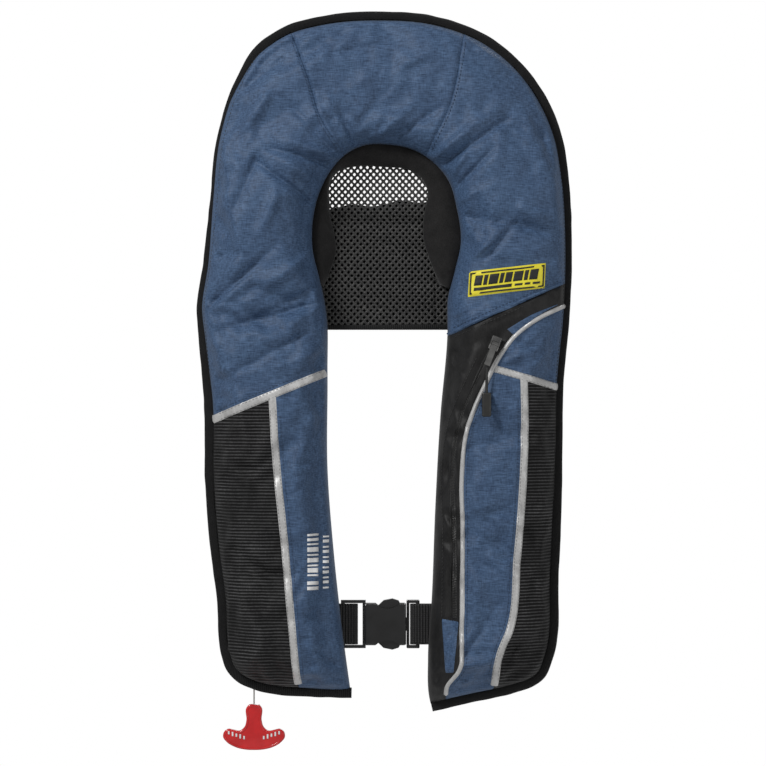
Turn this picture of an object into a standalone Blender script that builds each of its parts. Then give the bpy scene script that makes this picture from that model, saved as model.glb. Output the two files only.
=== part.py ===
"""Inflatable life jacket, hung upright by its neck.

A horseshoe cover of sewn panels holds a folded bladder, a gas cylinder with its inflator, an oral
tube and a whistle. A mesh yoke hangs behind the neck opening and carries the waist belt, whose
side-release buckle closes in front.

Frame: metres, +X to the right as seen from the front, +Z up, and the front of the jacket faces -Y.
The origin is under the top of the collar, in the plane of the cover's edge seam. Dimensions below
are millimetres, and MM turns them into metres.
"""

import math

import bmesh
import bpy
import numpy as np
from mathutils import Matrix, Vector

MM = 0.001

# ---------------------------------------------------------------- driving dimensions (mm)

SEAM_HALF = 2.5          # half the distance between front and back cloth where they meet the binding
CLOTH = 1.0              # thickness of the cover cloth
SEAM_GAP = 1.1           # each panel stops this far short of its seam line
LOBE_HEIGHT = 39.5       # how far the packed lobes stand in front of the seam plane
NECK_HEIGHT = 28.0       # the same behind the neck
OUTER_ROUND = 36.0       # width over which the front rises from the outer seam
INNER_ROUND = 26.0       # width over which it rises from the neckline
BACK_HEIGHT = 2.5        # the back panels' crown
BACK_ROUND = 20.0
BINDING = 9.6            # visible width of the edge binding
WEBBING = 38.0           # waist belt width
WEBBING_THICK = 1.6
BELT_Y = 12.4            # plane of the belt, behind the back panels
BELT_Z = -419.0          # height of the buckle's centre line
BUCKLE_X = -1.6
CORD_X = -121.5          # the pull cord's vertical line
LEVER_X, LEVER_Z = -109.5, -419.0
ZIP_TILT = math.radians(21.0)
ZIP_X, ZIP_Z = 97.0, -162.0

# Outer edge from the left lobe's inner foot corner, round the neck, to the right lobe's.
OUTLINE = (
    (-32.4, -485.6), (-67.5, -484.7), (-101.7, -482.4), (-121.5, -478.1), (-138.6, -469.4),
    (-147.2, -459.4), (-151.5, -445.9), (-155.7, -394.7), (-161.1, -352.4), (-166.5, -284.9),
    (-167.0, -224.6), (-171.9, -160.3), (-174.0, -130.0), (-168.3, -88.7), (-162.0, -31.9),
    (-155.3, 27.7), (-138.0, 80.5), (-122.0, 108.0), (-94.5, 128.0), (-62.1, 137.5), (-7.2, 142.1),
    (43.2, 138.0), (96.3, 117.3), (123.7, 94.3), (146.7, 62.2), (160.2, 27.7), (166.1, -9.0),
    (169.2, -64.4), (167.0, -138.6), (161.7, -195.8), (160.8, -248.8), (159.5, -314.6),
    (157.3, -371.0), (151.7, -449.9), (145.2, -465.8), (135.0, -474.3), (115.0, -481.4),
    (76.2, -490.1), (41.9, -498.0),
)
# Neckline: the lobes' inner edges and the neck opening, in the same order.
NECKLINE = (
    (-32.4, -485.6), (-40.1, -428.9), (-48.6, -352.4), (-54.3, -275.9), (-54.3, -189.0),
    (-55.5, -131.3), (-60.7, -103.6), (-67.5, -74.5), (-67.0, -48.0), (-62.1, -26.6),
    (-53.1, -7.7), (-40.5, 7.7), (-21.6, 18.3), (0.0, 19.6), (22.5, 15.1), (42.9, 2.5),
    (56.7, -15.1), (63.0, -36.6), (67.0, -70.0), (61.8, -94.7), (55.6, -120.0), (55.3, -152.6),
    (49.0, -226.1), (44.1, -313.7), (41.1, -392.5), (37.5, -450.0), (38.7, -485.0), (41.9, -498.0),
)
COLLAR_FOLD = (
    (-58.1, -109.9), (-51.8, -94.7), (-47.3, -80.8), (-52.4, -36.6), (-50.5, -11.2), (-44.2, -3.8),
    (-27.9, 0.8), (0.0, 0.0), (18.0, -1.8), (29.1, -7.7), (36.0, -17.6), (33.2, -49.2),
    (33.5, -65.7), (39.1, -84.6), (48.0, -107.4),
)
LEFT_SHOULDER = ((-39.6, 9.5), (-57.7, 37.0), (-71.5, 78.3), (-85.5, 117.5))
RIGHT_SHOULDER = ((36.4, 9.5), (57.1, 55.4), (69.7, 118.0))
LEFT_DIAGONAL = ((-158.0, -231.3), (-57.1, -187.6))
LEFT_UPRIGHT = ((-80.1, -474.0), (-86.0, -411.8), (-93.7, -326.8), (-99.0, -275.9), (-103.8, -207.8))
ZIP_YOKE = ((55.3, -154.7), (87.5, -140.2), (160.0, -107.5))
PIPING = (
    (58.0, -482.0), (64.8, -457.0), (67.0, -421.2), (67.7, -371.0), (68.0, -327.9), (67.0, -284.9),
    (72.3, -238.7), (87.5, -200.8), (102.6, -171.8), (115.2, -155.2), (132.9, -141.5), (154.0, -128.0),
)
RIGHT_DIAGONAL = ((95.5, -185.0), (152.0, -201.0))
RIGHT_UPRIGHT = (
    (96.4, -475.7), (102.1, -439.8), (110.7, -418.3), (117.2, -356.6), (122.9, -281.6),
    (124.1, -231.1), (122.9, -193.0),
)

# ---------------------------------------------------------------- scene, collections, materials

for item in list(bpy.data.objects):
    bpy.data.objects.remove(item, do_unlink=True)

jacket = bpy.data.collections.new("inflatable_life_jacket")
cutters = bpy.data.collections.new("cutters")
bpy.context.scene.collection.children.link(jacket)
bpy.context.scene.collection.children.link(cutters)

BLUE = ("navy_nylon", (0.055, 0.105, 0.200), 0.62, 0.0)
BLACK = ("black_nylon", (0.012, 0.012, 0.014), 0.75, 0.0)
TAPE = ("reflective_tape", (0.42, 0.43, 0.44), 0.40, 0.0)
WEB = ("black_webbing", (0.015, 0.015, 0.017), 0.70, 0.0)
PLASTIC = ("black_plastic", (0.012, 0.012, 0.013), 0.45, 0.0)
METAL = ("dark_metal", (0.10, 0.10, 0.11), 0.35, 1.0)
STEEL = ("grey_steel", (0.45, 0.46, 0.47), 0.40, 1.0)
YELLOW = ("yellow_coated_cloth", (0.75, 0.55, 0.03), 0.55, 0.0)
RED = ("red_plastic", (0.60, 0.02, 0.02), 0.35, 0.0)
CORD = ("grey_cord", (0.35, 0.35, 0.35), 0.70, 0.0)


def material(finish):
    """The Principled material of a finish: name, colour, roughness and metallic value."""
    name, colour, roughness, metallic = finish
    found = bpy.data.materials.get(name)
    if found:
        return found
    made = bpy.data.materials.new(name)
    made.use_nodes = True
    shader = made.node_tree.nodes["Principled BSDF"]
    shader.inputs["Base Color"].default_value = (*colour, 1.0)
    shader.inputs["Roughness"].default_value = roughness
    shader.inputs["Metallic"].default_value = metallic
    return made


# ---------------------------------------------------------------- curves in the front plane


def smooth(points, count):
    """Evenly spaced points on the cubic curve through a few points, slopes taken from neighbours."""
    knots = np.array(points, float)
    reach = np.r_[0.0, np.cumsum(np.hypot(*np.diff(knots, axis=0).T))]
    slope = np.gradient(knots, reach, axis=0)
    along = np.linspace(0.0, reach[-1], count)
    k = np.clip(np.searchsorted(reach, along, side="right") - 1, 0, len(knots) - 2)
    step = (reach[k + 1] - reach[k])[:, None]
    t = (along - reach[k])[:, None] / step
    near = (1 + 2 * t) * (1 - t) ** 2 * knots[k] + t * (1 - t) ** 2 * step * slope[k]
    far = t * t * (3 - 2 * t) * knots[k + 1] + t * t * (t - 1) * step * slope[k + 1]
    return near + far


def shifted(line, distance):
    """The line moved sideways, to the right of its direction of travel."""
    run = np.gradient(line, axis=0)
    run /= np.hypot(run[:, 0], run[:, 1])[:, None]
    return line + distance * np.column_stack((run[:, 1], -run[:, 0]))


def resampled(line, count):
    """The same line with evenly spaced points."""
    reach = np.r_[0.0, np.cumsum(np.hypot(*np.diff(line, axis=0).T))]
    along = np.linspace(0.0, reach[-1], count)
    return np.column_stack([np.interp(along, reach, line[:, k]) for k in range(2)])


def nearest(line, point):
    """The line's point closest to a given one."""
    return line[np.argmin(np.hypot(*(line - np.array(point)).T))]


def between(line, start, end, count=40):
    """The stretch of a line between two points, its ends drawn exactly onto them."""
    first = np.argmin(np.hypot(*(line - start).T))
    last = np.argmin(np.hypot(*(line - end).T))
    part = line[first:last + 1] if first <= last else line[last:first + 1][::-1]
    part = resampled(part, count)
    t = np.linspace(0.0, 1.0, count)[:, None]
    return part + (start - part[0]) * (1 - t) + (end - part[-1]) * t


def distance_to(points, line):
    """Distance of each point from a line of straight pieces."""
    start, run = line[:-1], np.diff(line, axis=0)
    across = points[:, None, :] - start[None]
    t = np.clip((across * run).sum(2) / (run * run).sum(1), 0.0, 1.0)
    return np.hypot(*np.moveaxis(across - t[..., None] * run, 2, 0)).min(1)


def rise(distance, width):
    """Quarter round: 0 at the seam, 1 from the given width on."""
    t = np.clip(distance / width, 0.0, 1.0)
    return np.sqrt(1.0 - (1.0 - t) ** 2)


outline = smooth(OUTLINE, 420)
neckline = smooth(NECKLINE, 360)
panel_edge = shifted(outline, BINDING + 0.8)


def front_height(points):
    """How far the cover's front stands before the seam plane, at points of the front plane."""
    t = np.clip((points[:, 1] + 40.0) / 120.0, 0.0, 1.0)
    packed = LOBE_HEIGHT + (NECK_HEIGHT - LOBE_HEIGHT) * t * t * (3 - 2 * t)
    outer = rise(distance_to(points, panel_edge), OUTER_ROUND)
    inner = rise(distance_to(points, neckline), INNER_ROUND)
    return SEAM_HALF + packed * outer * inner


def back_height(points):
    """How far the cover's back stands behind the seam plane."""
    edge = np.minimum(distance_to(points, panel_edge), distance_to(points, neckline))
    return SEAM_HALF + BACK_HEIGHT * rise(edge, BACK_ROUND)


# ---------------------------------------------------------------- makers


def finish(name, mesh, look, collection=jacket):
    """Puts a mesh in the jacket as a named part with its material."""
    mesh.name = name
    mesh.materials.clear()
    mesh.materials.append(material(look))
    mesh.shade_smooth()
    mesh.set_sharp_from_angle(angle=math.radians(35))
    part = bpy.data.objects.new(name, mesh)
    collection.objects.link(part)
    return part


def from_bmesh(name, bm, look, collection=jacket):
    """A part from a bmesh in millimetres."""
    bmesh.ops.scale(bm, vec=Vector((MM, MM, MM)), verts=bm.verts)
    mesh = bpy.data.meshes.new(name)
    bm.to_mesh(mesh)
    bm.free()
    return finish(name, mesh, look, collection)


def solidify(part, thickness, offset=-1.0):
    """Gives an open surface its thickness, inwards from its outer side."""
    wall = part.modifiers.new("thickness", "SOLIDIFY")
    wall.thickness = thickness * MM
    wall.offset = offset
    wall.use_even_offset = False


def sheet(name, place, columns, rows, look, thickness=CLOTH, offset=-1.0, flip=False):
    """A grid primitive laid on a surface: place turns (across, along) in 0..1 into millimetres."""
    bm = bmesh.new()
    bmesh.ops.create_grid(bm, x_segments=columns, y_segments=rows, size=0.5)
    spot = np.array([(v.co.x + 0.5, v.co.y + 0.5) for v in bm.verts])
    for vert, where in zip(bm.verts, place(spot[:, 0], spot[:, 1])):
        vert.co = where
    if flip:
        bmesh.ops.reverse_faces(bm, faces=bm.faces)
    part = from_bmesh(name, bm, look)
    solidify(part, thickness, offset)
    return part


def lerp_rows(line, t):
    """Points of a line at fractions t of its point list."""
    at = np.linspace(0.0, 1.0, len(line))
    return np.column_stack([np.interp(t, at, line[:, k]) for k in range(2)])


def patch(left, right, bottom, top, gap=SEAM_GAP):
    """Maps (across, along) onto a four-sided patch, held back by a gap inside its seam lines."""
    corners = bottom[0], bottom[-1], top[0], top[-1]

    def spread(s, t):
        wide = np.hypot(*(lerp_rows(right, t) - lerp_rows(left, t)).T)
        tall = np.hypot(*(lerp_rows(top, s) - lerp_rows(bottom, s)).T)
        ds, dt = np.minimum(gap / wide, 0.3), np.minimum(gap / tall, 0.3)
        s, t = ds + s * (1 - 2 * ds), dt + t * (1 - 2 * dt)
        s, t = s[:, None], t[:, None]
        ruled = (1 - s) * lerp_rows(left, t[:, 0]) + s * lerp_rows(right, t[:, 0])
        risen = (1 - t) * lerp_rows(bottom, s[:, 0]) + t * lerp_rows(top, s[:, 0])
        low = (1 - s) * corners[0] + s * corners[1]
        high = (1 - s) * corners[2] + s * corners[3]
        return ruled + risen - (1 - t) * low - t * high

    return spread


def panel(name, sides, columns, rows, look, behind=False):
    """A cover panel: a patch laid on the front or the back of the packed lobes."""
    spread = patch(*sides)

    def place(s, t):
        s = s + 0.6 * (0.5 - 0.5 * np.cos(math.pi * s) - s)
        flat = spread(s, t)
        depth = back_height(flat) if behind else -front_height(flat)
        return np.column_stack((flat[:, 0], depth, flat[:, 1]))

    return sheet(name, place, columns, rows, look, flip=behind)


def above_cover(flat, lift):
    """Points standing off the front of the cover, squarely to its surface."""
    step = 0.5
    right = front_height(flat + (step, 0.0)) - front_height(flat - (step, 0.0))
    up = front_height(flat + (0.0, step)) - front_height(flat - (0.0, step))
    normal = np.column_stack((-right / (2 * step), -np.ones(len(flat)), -up / (2 * step)))
    normal /= np.linalg.norm(normal, axis=1)[:, None]
    return np.column_stack((flat[:, 0], -front_height(flat), flat[:, 1])) + lift * normal


def strip(name, line, width, look, lift=1.1, thickness=0.6):
    """A narrow tape lying on the front of the cover along a line."""
    left, right = shifted(line, -width / 2), shifted(line, width / 2)

    def place(s, t):
        flat = (1 - s[:, None]) * lerp_rows(left, t) + s[:, None] * lerp_rows(right, t)
        return above_cover(flat, lift + thickness)

    return sheet(name, place, 2, len(line) - 1, look, thickness)


def box(name, low, high, look=PLASTIC, round_edge=0.0, collection=jacket):
    """A cuboid between two corners, its edges rounded by a bevel."""
    low, high = Vector(low), Vector(high)
    bm = bmesh.new()
    bmesh.ops.create_cube(bm, size=1.0, matrix=Matrix.Diagonal((*(high - low), 1.0)))
    bmesh.ops.translate(bm, vec=(low + high) / 2, verts=bm.verts)
    part = from_bmesh(name, bm, look, collection)
    if round_edge:
        bevel = part.modifiers.new("edges", "BEVEL")
        bevel.width = round_edge * MM
        bevel.segments = 2
    return part


def rod(name, start, end, radius, look=PLASTIC, sides=12, collection=jacket):
    """A round bar between two points."""
    start, end = Vector(start), Vector(end)
    run = end - start
    bm = bmesh.new()
    turn = run.to_track_quat("Z", "Y").to_matrix().to_4x4()
    bmesh.ops.create_cone(
        bm, cap_ends=True, segments=sides, radius1=radius, radius2=radius, depth=run.length,
        matrix=Matrix.Translation((start + end) / 2) @ turn)
    return from_bmesh(name, bm, look, collection)


def tool(name, made):
    """Marks a helper shape that only cuts or joins."""
    made.name = name
    made.hide_render = True
    made.display_type = "WIRE"
    return made


def combine(part, other, operation):
    """Adds a live Boolean with another shape."""
    change = part.modifiers.new(other.name, "BOOLEAN")
    change.operation = operation
    change.solver = "EXACT"
    change.object = other


def cut_box(part, name, low, high):
    """Cuts a cuboid out of a part."""
    combine(part, tool(name, box(name, low, high, collection=cutters)), "DIFFERENCE")


def cut_rod(part, name, start, end, radius, sides=16):
    """Cuts a round hole into a part."""
    combine(part, tool(name, rod(name, start, end, radius, sides=sides, collection=cutters)), "DIFFERENCE")


def add_box(part, name, low, high):
    """Joins a cuboid to a part."""
    combine(part, tool(name, box(name, low, high, collection=cutters)), "UNION")


def add_rod(part, name, start, end, radius, sides=12):
    """Joins a round bar to a part."""
    combine(part, tool(name, rod(name, start, end, radius, sides=sides, collection=cutters)), "UNION")


def plate(name, outlines, y, half_thickness, look, edge=0.0):
    """A flat piece in a plane of constant y, cut to one outline and any holes in it."""
    curve = bpy.data.curves.new(name, "CURVE")
    curve.dimensions = "2D"
    curve.fill_mode = "BOTH"
    curve.extrude = (half_thickness - edge) * MM
    curve.bevel_depth = edge * MM
    curve.bevel_resolution = 1
    for outline_points in outlines:
        spline = curve.splines.new("POLY")
        spline.points.add(len(outline_points) - 1)
        for point, (x, z) in zip(spline.points, outline_points):
            point.co = (x * MM, z * MM, 0.0, 1.0)
        spline.use_cyclic_u = True
    curve.materials.append(material(look))
    part = bpy.data.objects.new(name, curve)
    part.location = (0.0, y * MM, 0.0)
    part.rotation_euler = (math.pi / 2, 0.0, 0.0)
    jacket.objects.link(part)
    return part


def tube(name, points, radius, look):
    """A cord: a round bevel along a chain of points."""
    curve = bpy.data.curves.new(name, "CURVE")
    curve.dimensions = "3D"
    curve.bevel_depth = radius * MM
    curve.bevel_resolution = 2
    curve.use_fill_caps = True
    spline = curve.splines.new("POLY")
    spline.points.add(len(points) - 1)
    for point, where in zip(spline.points, points):
        point.co = (*(Vector(where) * MM), 1.0)
    curve.materials.append(material(look))
    part = bpy.data.objects.new(name, curve)
    jacket.objects.link(part)
    return part


def turned(name, profile, x, y, look, steps=20):
    """A turned piece on an upright axis: its profile lists (radius, z) from the top down."""
    mesh = bpy.data.meshes.new(name)
    points = [(r * MM, 0.0, z * MM) for r, z in profile]
    mesh.from_pydata(points, [(k, k + 1) for k in range(len(points) - 1)], [])
    part = finish(name, mesh, look)
    part.location = (x * MM, y * MM, 0.0)
    lathe = part.modifiers.new("lathe", "SCREW")
    lathe.steps = steps
    lathe.render_steps = steps
    lathe.use_merge_vertices = True
    lathe.merge_threshold = 0.00001
    lathe.use_smooth_shade = True
    return part


def loft(name, rings, look):
    """A closed skin over a row of unlike rings, each of the same number of points."""
    bm = bmesh.new()
    rows = [[bm.verts.new(point) for point in ring] for ring in rings]
    around = len(rows[0])
    for lower, upper in zip(rows, rows[1:]):
        for k in range(around):
            bm.faces.new((lower[k], upper[k], upper[(k + 1) % around], lower[(k + 1) % around]))
    bm.faces.new(rows[0])
    bm.faces.new(rows[-1][::-1])
    bmesh.ops.recalc_face_normals(bm, faces=bm.faces)
    return from_bmesh(name, bm, look)


# ---------------------------------------------------------------- cover


def seam(points, count=40, start_on=None, end_on=None):
    """A seam line through a few points, its ends drawn onto the edges that it meets."""
    points = [np.array(p) for p in points]
    if start_on is not None:
        points[0] = nearest(start_on, points[0])
    if end_on is not None:
        points[-1] = nearest(end_on, points[-1])
    return smooth(points, count)


left_shoulder = seam(LEFT_SHOULDER, start_on=neckline, end_on=panel_edge)
right_shoulder = seam(RIGHT_SHOULDER, start_on=neckline, end_on=panel_edge)
left_diagonal = seam(LEFT_DIAGONAL, start_on=panel_edge, end_on=neckline)
left_upright = seam(LEFT_UPRIGHT, start_on=panel_edge, end_on=left_diagonal)
zip_yoke = seam(ZIP_YOKE, start_on=neckline, end_on=panel_edge)
piping = seam(PIPING, count=120, start_on=panel_edge, end_on=panel_edge)
right_diagonal = seam(RIGHT_DIAGONAL, start_on=piping, end_on=panel_edge)
right_upright = seam(RIGHT_UPRIGHT, start_on=panel_edge, end_on=right_diagonal)

left_foot = nearest(neckline, (-34.0, -474.5))
right_foot = nearest(neckline, (38.7, -487.5))
left_corner = nearest(panel_edge, (-138.0, -457.0))
right_corner = nearest(panel_edge, (138.0, -463.0))
piping_turn = nearest(piping, (103.5, -170.5))


def cover_front():
    """The nine front panels, from the back of the neck down both lobes."""
    edge, neck = panel_edge, neckline
    panel("cover_neck", (
        left_shoulder, right_shoulder, between(neck, left_shoulder[0], right_shoulder[0]),
        between(edge, left_shoulder[-1], right_shoulder[-1])), 8, 8, BLUE)
    panel("cover_left_chest", (
        between(edge, left_diagonal[0], left_shoulder[-1]),
        between(neck, left_diagonal[-1], left_shoulder[0]),
        left_diagonal, left_shoulder[::-1]), 8, 12, BLUE)
    panel("cover_left_side", (
        between(edge, left_corner, left_diagonal[0]), left_upright,
        between(edge, left_corner, left_upright[0]),
        between(left_diagonal, left_diagonal[0], left_upright[-1])), 6, 10, BLACK)
    panel("cover_left_front", (
        left_upright, between(neck, left_foot, left_diagonal[-1]),
        between(edge, left_upright[0], left_foot),
        between(left_diagonal, left_upright[-1], left_diagonal[-1])), 6, 10, BLUE)
    panel("cover_right_chest", (
        between(neck, zip_yoke[0], right_shoulder[0]),
        between(edge, zip_yoke[-1], right_shoulder[-1]),
        zip_yoke, right_shoulder), 8, 12, BLUE)
    inside = np.vstack((between(neck, right_foot, zip_yoke[0], 71), resampled(zip_yoke, 31)[1:]))
    panel("cover_zip_panel", (
        inside, piping, between(edge, right_foot, piping[0]),
        between(edge, zip_yoke[-1], piping[-1])), 6, 20, BLACK)
    panel("cover_right_wedge", (
        between(piping, right_diagonal[0], piping_turn),
        between(edge, right_diagonal[-1], piping[-1]),
        right_diagonal, between(piping, piping_turn, piping[-1])), 6, 5, BLUE)
    panel("cover_right_front", (
        between(piping, piping[0], right_diagonal[0]), right_upright,
        between(edge, piping[0], right_upright[0]),
        between(right_diagonal, right_diagonal[0], right_upright[-1])), 5, 16, BLUE)
    panel("cover_right_side", (
        right_upright, between(edge, right_corner, right_diagonal[-1]),
        between(edge, right_upright[0], right_corner),
        between(right_diagonal, right_upright[-1], right_diagonal[-1])), 6, 12, BLACK)


def cover_back():
    """The three back panels, joined at the shoulder seams."""
    edge, neck = panel_edge, neckline
    panel("back_neck", (
        left_shoulder, right_shoulder, between(neck, left_shoulder[0], right_shoulder[0]),
        between(edge, left_shoulder[-1], right_shoulder[-1])), 6, 5, BLACK, behind=True)
    panel("back_left", (
        between(edge, left_corner, left_shoulder[-1]), between(neck, left_foot, left_shoulder[0]),
        between(edge, left_corner, left_foot), left_shoulder[::-1]), 6, 14, BLACK, behind=True)
    panel("back_right", (
        between(neck, right_foot, right_shoulder[0]),
        between(edge, right_corner, right_shoulder[-1]),
        between(edge, right_foot, right_corner), right_shoulder), 6, 14, BLACK, behind=True)


def edge_binding():
    """The folded tape round the outer edge, with an eyelet at the left foot for the pull cord."""
    outer, inner = resampled(outline, 151), resampled(shifted(outline, BINDING), 151)

    def place(s, t):
        flat = (1 - s[:, None]) * lerp_rows(outer, t) + s[:, None] * lerp_rows(inner, t)
        return np.column_stack((flat[:, 0], np.zeros(len(s)), flat[:, 1]))

    part = sheet("edge_binding", place, 1, 150, BLACK, 2 * SEAM_HALF + 1.0, 0.0)
    cut_rod(part, "cord_eyelet", (CORD_X, 0.0, -500.0), (CORD_X, 0.0, -455.0), 2.0, 12)


def closures():
    """Hook and loop tapes that close the cover along both inner edges."""
    for name, foot, head, side in (
            ("closure_left", (-36.5, -455.0), (-54.3, -200.0), -1.0),
            ("closure_right", (37.6, -455.0), (52.0, -190.0), 1.0)):
        line = between(neckline, nearest(neckline, foot), nearest(neckline, head), 13)
        near, far = line + (side * 1.5, 0.0), line + (side * 13.5, 0.0)

        def place(s, t, near=near, far=far):
            flat = (1 - s[:, None]) * lerp_rows(near, t) + s[:, None] * lerp_rows(far, t)
            return np.column_stack((flat[:, 0], np.zeros(len(s)), flat[:, 1]))

        sheet(name, place, 1, 12, BLACK, 1.6, 0.0)


def collar():
    """The padded collar band between the neckline and the fold that meets the yoke."""
    ends = nearest(neckline, (-60.0, -106.0)), nearest(neckline, (57.5, -112.0))
    outer = shifted(between(neckline, *ends, 60), 1.6)
    fold = smooth(COLLAR_FOLD, 60)

    def place(s, t):
        flat = (1 - s[:, None]) * lerp_rows(outer, t) + s[:, None] * lerp_rows(fold, t)
        bulge = -2.5 * np.sin(math.pi * s)
        return np.column_stack((flat[:, 0], -0.5 + 5.0 * s + bulge, flat[:, 1]))

    sheet("neck_collar", place, 4, 28, BLACK, 3.0, 0.0)


def trim():
    """Reflective tapes, piping, zip chain, the zip's end patch and the label."""
    strip("left_diagonal_tape", resampled(left_diagonal[2:39], 25), 7.0, TAPE)
    strip("left_upright_tape", resampled(left_upright[1:38], 19), 7.0, TAPE)
    strip("right_diagonal_tape", resampled(right_diagonal[3:38], 15), 6.0, TAPE)
    strip("right_upright_tape", resampled(right_upright[1:38], 21), 7.0, TAPE)
    strip("zip_piping", resampled(piping[2:116], 51), 4.5, TAPE)
    strip("zip_chain", resampled(shifted(piping, -6.4)[9:94], 25), 6.0, PLASTIC)
    strip("zip_end_patch", resampled(shifted(piping, -12.4)[6:20], 6), 4.0, BLUE)
    corners = np.array(((72.9, -120.2), (142.2, -112.0), (74.2, -97.2), (143.1, -89.5)))
    spread = patch(corners[[0, 2]], corners[[1, 3]], corners[[0, 1]], corners[[2, 3]], 0.0)

    def place(s, t):
        flat = spread(s, t)
        return above_cover(flat, 2.0)

    sheet("label_patch", place, 8, 3, YELLOW, 0.6)


# ---------------------------------------------------------------- what the cover holds


def bladder():
    """The folded bladder: a flat roll through both lobes, narrow beside the gas cylinder."""
    stations = (
        (-68, -452, 0.55), (-75, -360, 0.55), (-80, -262, 0.60), (-104, -170, 1.0), (-117, -70, 1.0),
        (-108, 20, 1.0), (-62, 72, 0.9), (0, 82, 0.9), (60, 74, 0.9), (104, 20, 1.0), (118, -70, 1.0),
        (112, -170, 1.0), (104, -300, 1.0), (100, -450, 0.95),
    )
    line = smooth([(x, z) for x, z, _ in stations], 27)
    size = np.interp(np.linspace(0, 1, 27), np.linspace(0, 1, len(stations)), [s[2] for s in stations])
    side = shifted(line, 1.0) - line
    turn = np.linspace(0.0, 2 * math.pi, 12, endpoint=False)
    rings = []
    for (x, z), (nx, nz), grow in zip(line, side, size):
        wide, deep = 30.0 * grow * np.cos(turn), 8.0 * grow * np.sin(turn)
        rings.append(np.column_stack((x + nx * wide, -14.0 + deep, z + nz * wide)))
    loft("bladder", rings, YELLOW)


def inflator():
    """Gas cylinder, inflator body with its lever on a pin, and the automatic head's cap."""
    x, y = -119.0, -17.6
    turned("co2_cylinder", (
        (0.0, -260.0), (8.0, -261.5), (14.2, -269.0), (14.5, -276.0), (14.5, -366.0), (11.5, -378.0),
        (6.5, -384.0), (6.2, -393.6), (0.0, -393.6)), x, y, STEEL)
    box("inflator_body", (-132.5, -26.5, -438.0), (-103.0, -4.4, -394.0), PLASTIC, 2.0)
    turned("auto_cap", (
        (0.0, -438.4), (8.8, -438.4), (9.0, -439.4), (9.0, -447.5), (7.6, -450.0), (0.0, -450.0)),
        x, -15.0, YELLOW)
    rod("lever_pin", (LEVER_X, -4.1, LEVER_Z), (LEVER_X, -0.8, LEVER_Z), 1.9, METAL)
    reach = 22.0
    lean = math.radians(123.1)
    width = 3.6
    turn = np.linspace(0.0, math.pi, 7)
    rim = [(reach + width * math.sin(a), width * math.cos(a)) for a in turn]
    rim += [(-width * math.sin(a), -width * math.cos(a)) for a in turn]
    spun = [(LEVER_X + u * math.cos(lean) - w * math.sin(lean),
             LEVER_Z + u * math.sin(lean) + w * math.cos(lean)) for u, w in rim]
    ring = np.linspace(0.0, 2 * math.pi, 12, endpoint=False)
    hole = [(LEVER_X + 2.3 * math.cos(a), LEVER_Z + 2.3 * math.sin(a)) for a in ring]
    plate("inflator_lever", (spun, hole), -2.3, 1.1, YELLOW)


def pull():
    """The pull cord through the eyelet, and the handle hung on it."""
    tube("pull_cord", [(CORD_X, 0.0, z) for z in np.linspace(-398.0, -491.0, 24)], 0.7, CORD)
    half = ((5.2, 0.0), (6.8, -2.0), (7.0, -14.0), (8.6, -19.5), (13.0, -23.2), (19.0, -22.4),
            (23.5, -21.6), (27.6, -24.6), (28.2, -29.0), (25.0, -33.4), (17.0, -38.2), (8.0, -40.4))
    shape = [(x, z) for x, z in half] + [(0.0, -40.8)] + [(-x, z) for x, z in half[::-1]]
    plate("pull_handle", [[(CORD_X + x, -492.2 + z) for x, z in shape]], 0.0, 2.6, RED, 0.9)


def oral_tube():
    """The mouth inflation tube, its push cap, and the whistle on its lanyard."""
    rod("oral_tube", (112.0, -32.4, -340.0), (112.0, -32.4, -228.0), 6.0, PLASTIC, 16)
    turned("oral_cap", (
        (0.0, -214.0), (5.4, -214.0), (7.2, -216.0), (7.2, -227.6), (0.0, -227.6)),
        112.0, -32.4, RED, 16)
    box("whistle", (77.0, -38.0, -332.0), (93.0, -28.0, -288.0), RED, 2.4)
    route = smooth(((0.0, 0.0), (3.0, 14.0), (12.0, 22.0), (19.6, 26.0)), 12)
    tube("whistle_lanyard", [(86.0 + a, -32.6, -287.2 + b) for a, b in route], 0.8, CORD)


# ---------------------------------------------------------------- yoke, belt, buckle


def yoke():
    """The mesh yoke behind the neck, with the channel that carries the belt across the back."""
    plate("yoke_mesh", [(
        (-48.0, 12.0), (48.0, 12.0), (74.0, -60.0), (84.5, -148.0), (-84.5, -148.0), (-74.0, -60.0))],
        8.7, 0.5, BLACK)
    centre, half = -127.5, WEBBING / 2
    channel = box("belt_channel", (-84.5, 9.5, centre - half - 2.6), (84.5, 15.3, centre + half + 2.6), BLACK)
    cut_box(channel, "channel_slot", (-90.0, 10.9, centre - half - 0.8), (90.0, 13.9, centre + half + 0.8))
    box("belt_back", (-86.0, BELT_Y - 0.8, centre - half), (86.0, BELT_Y + 0.8, centre + half), WEB)


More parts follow.
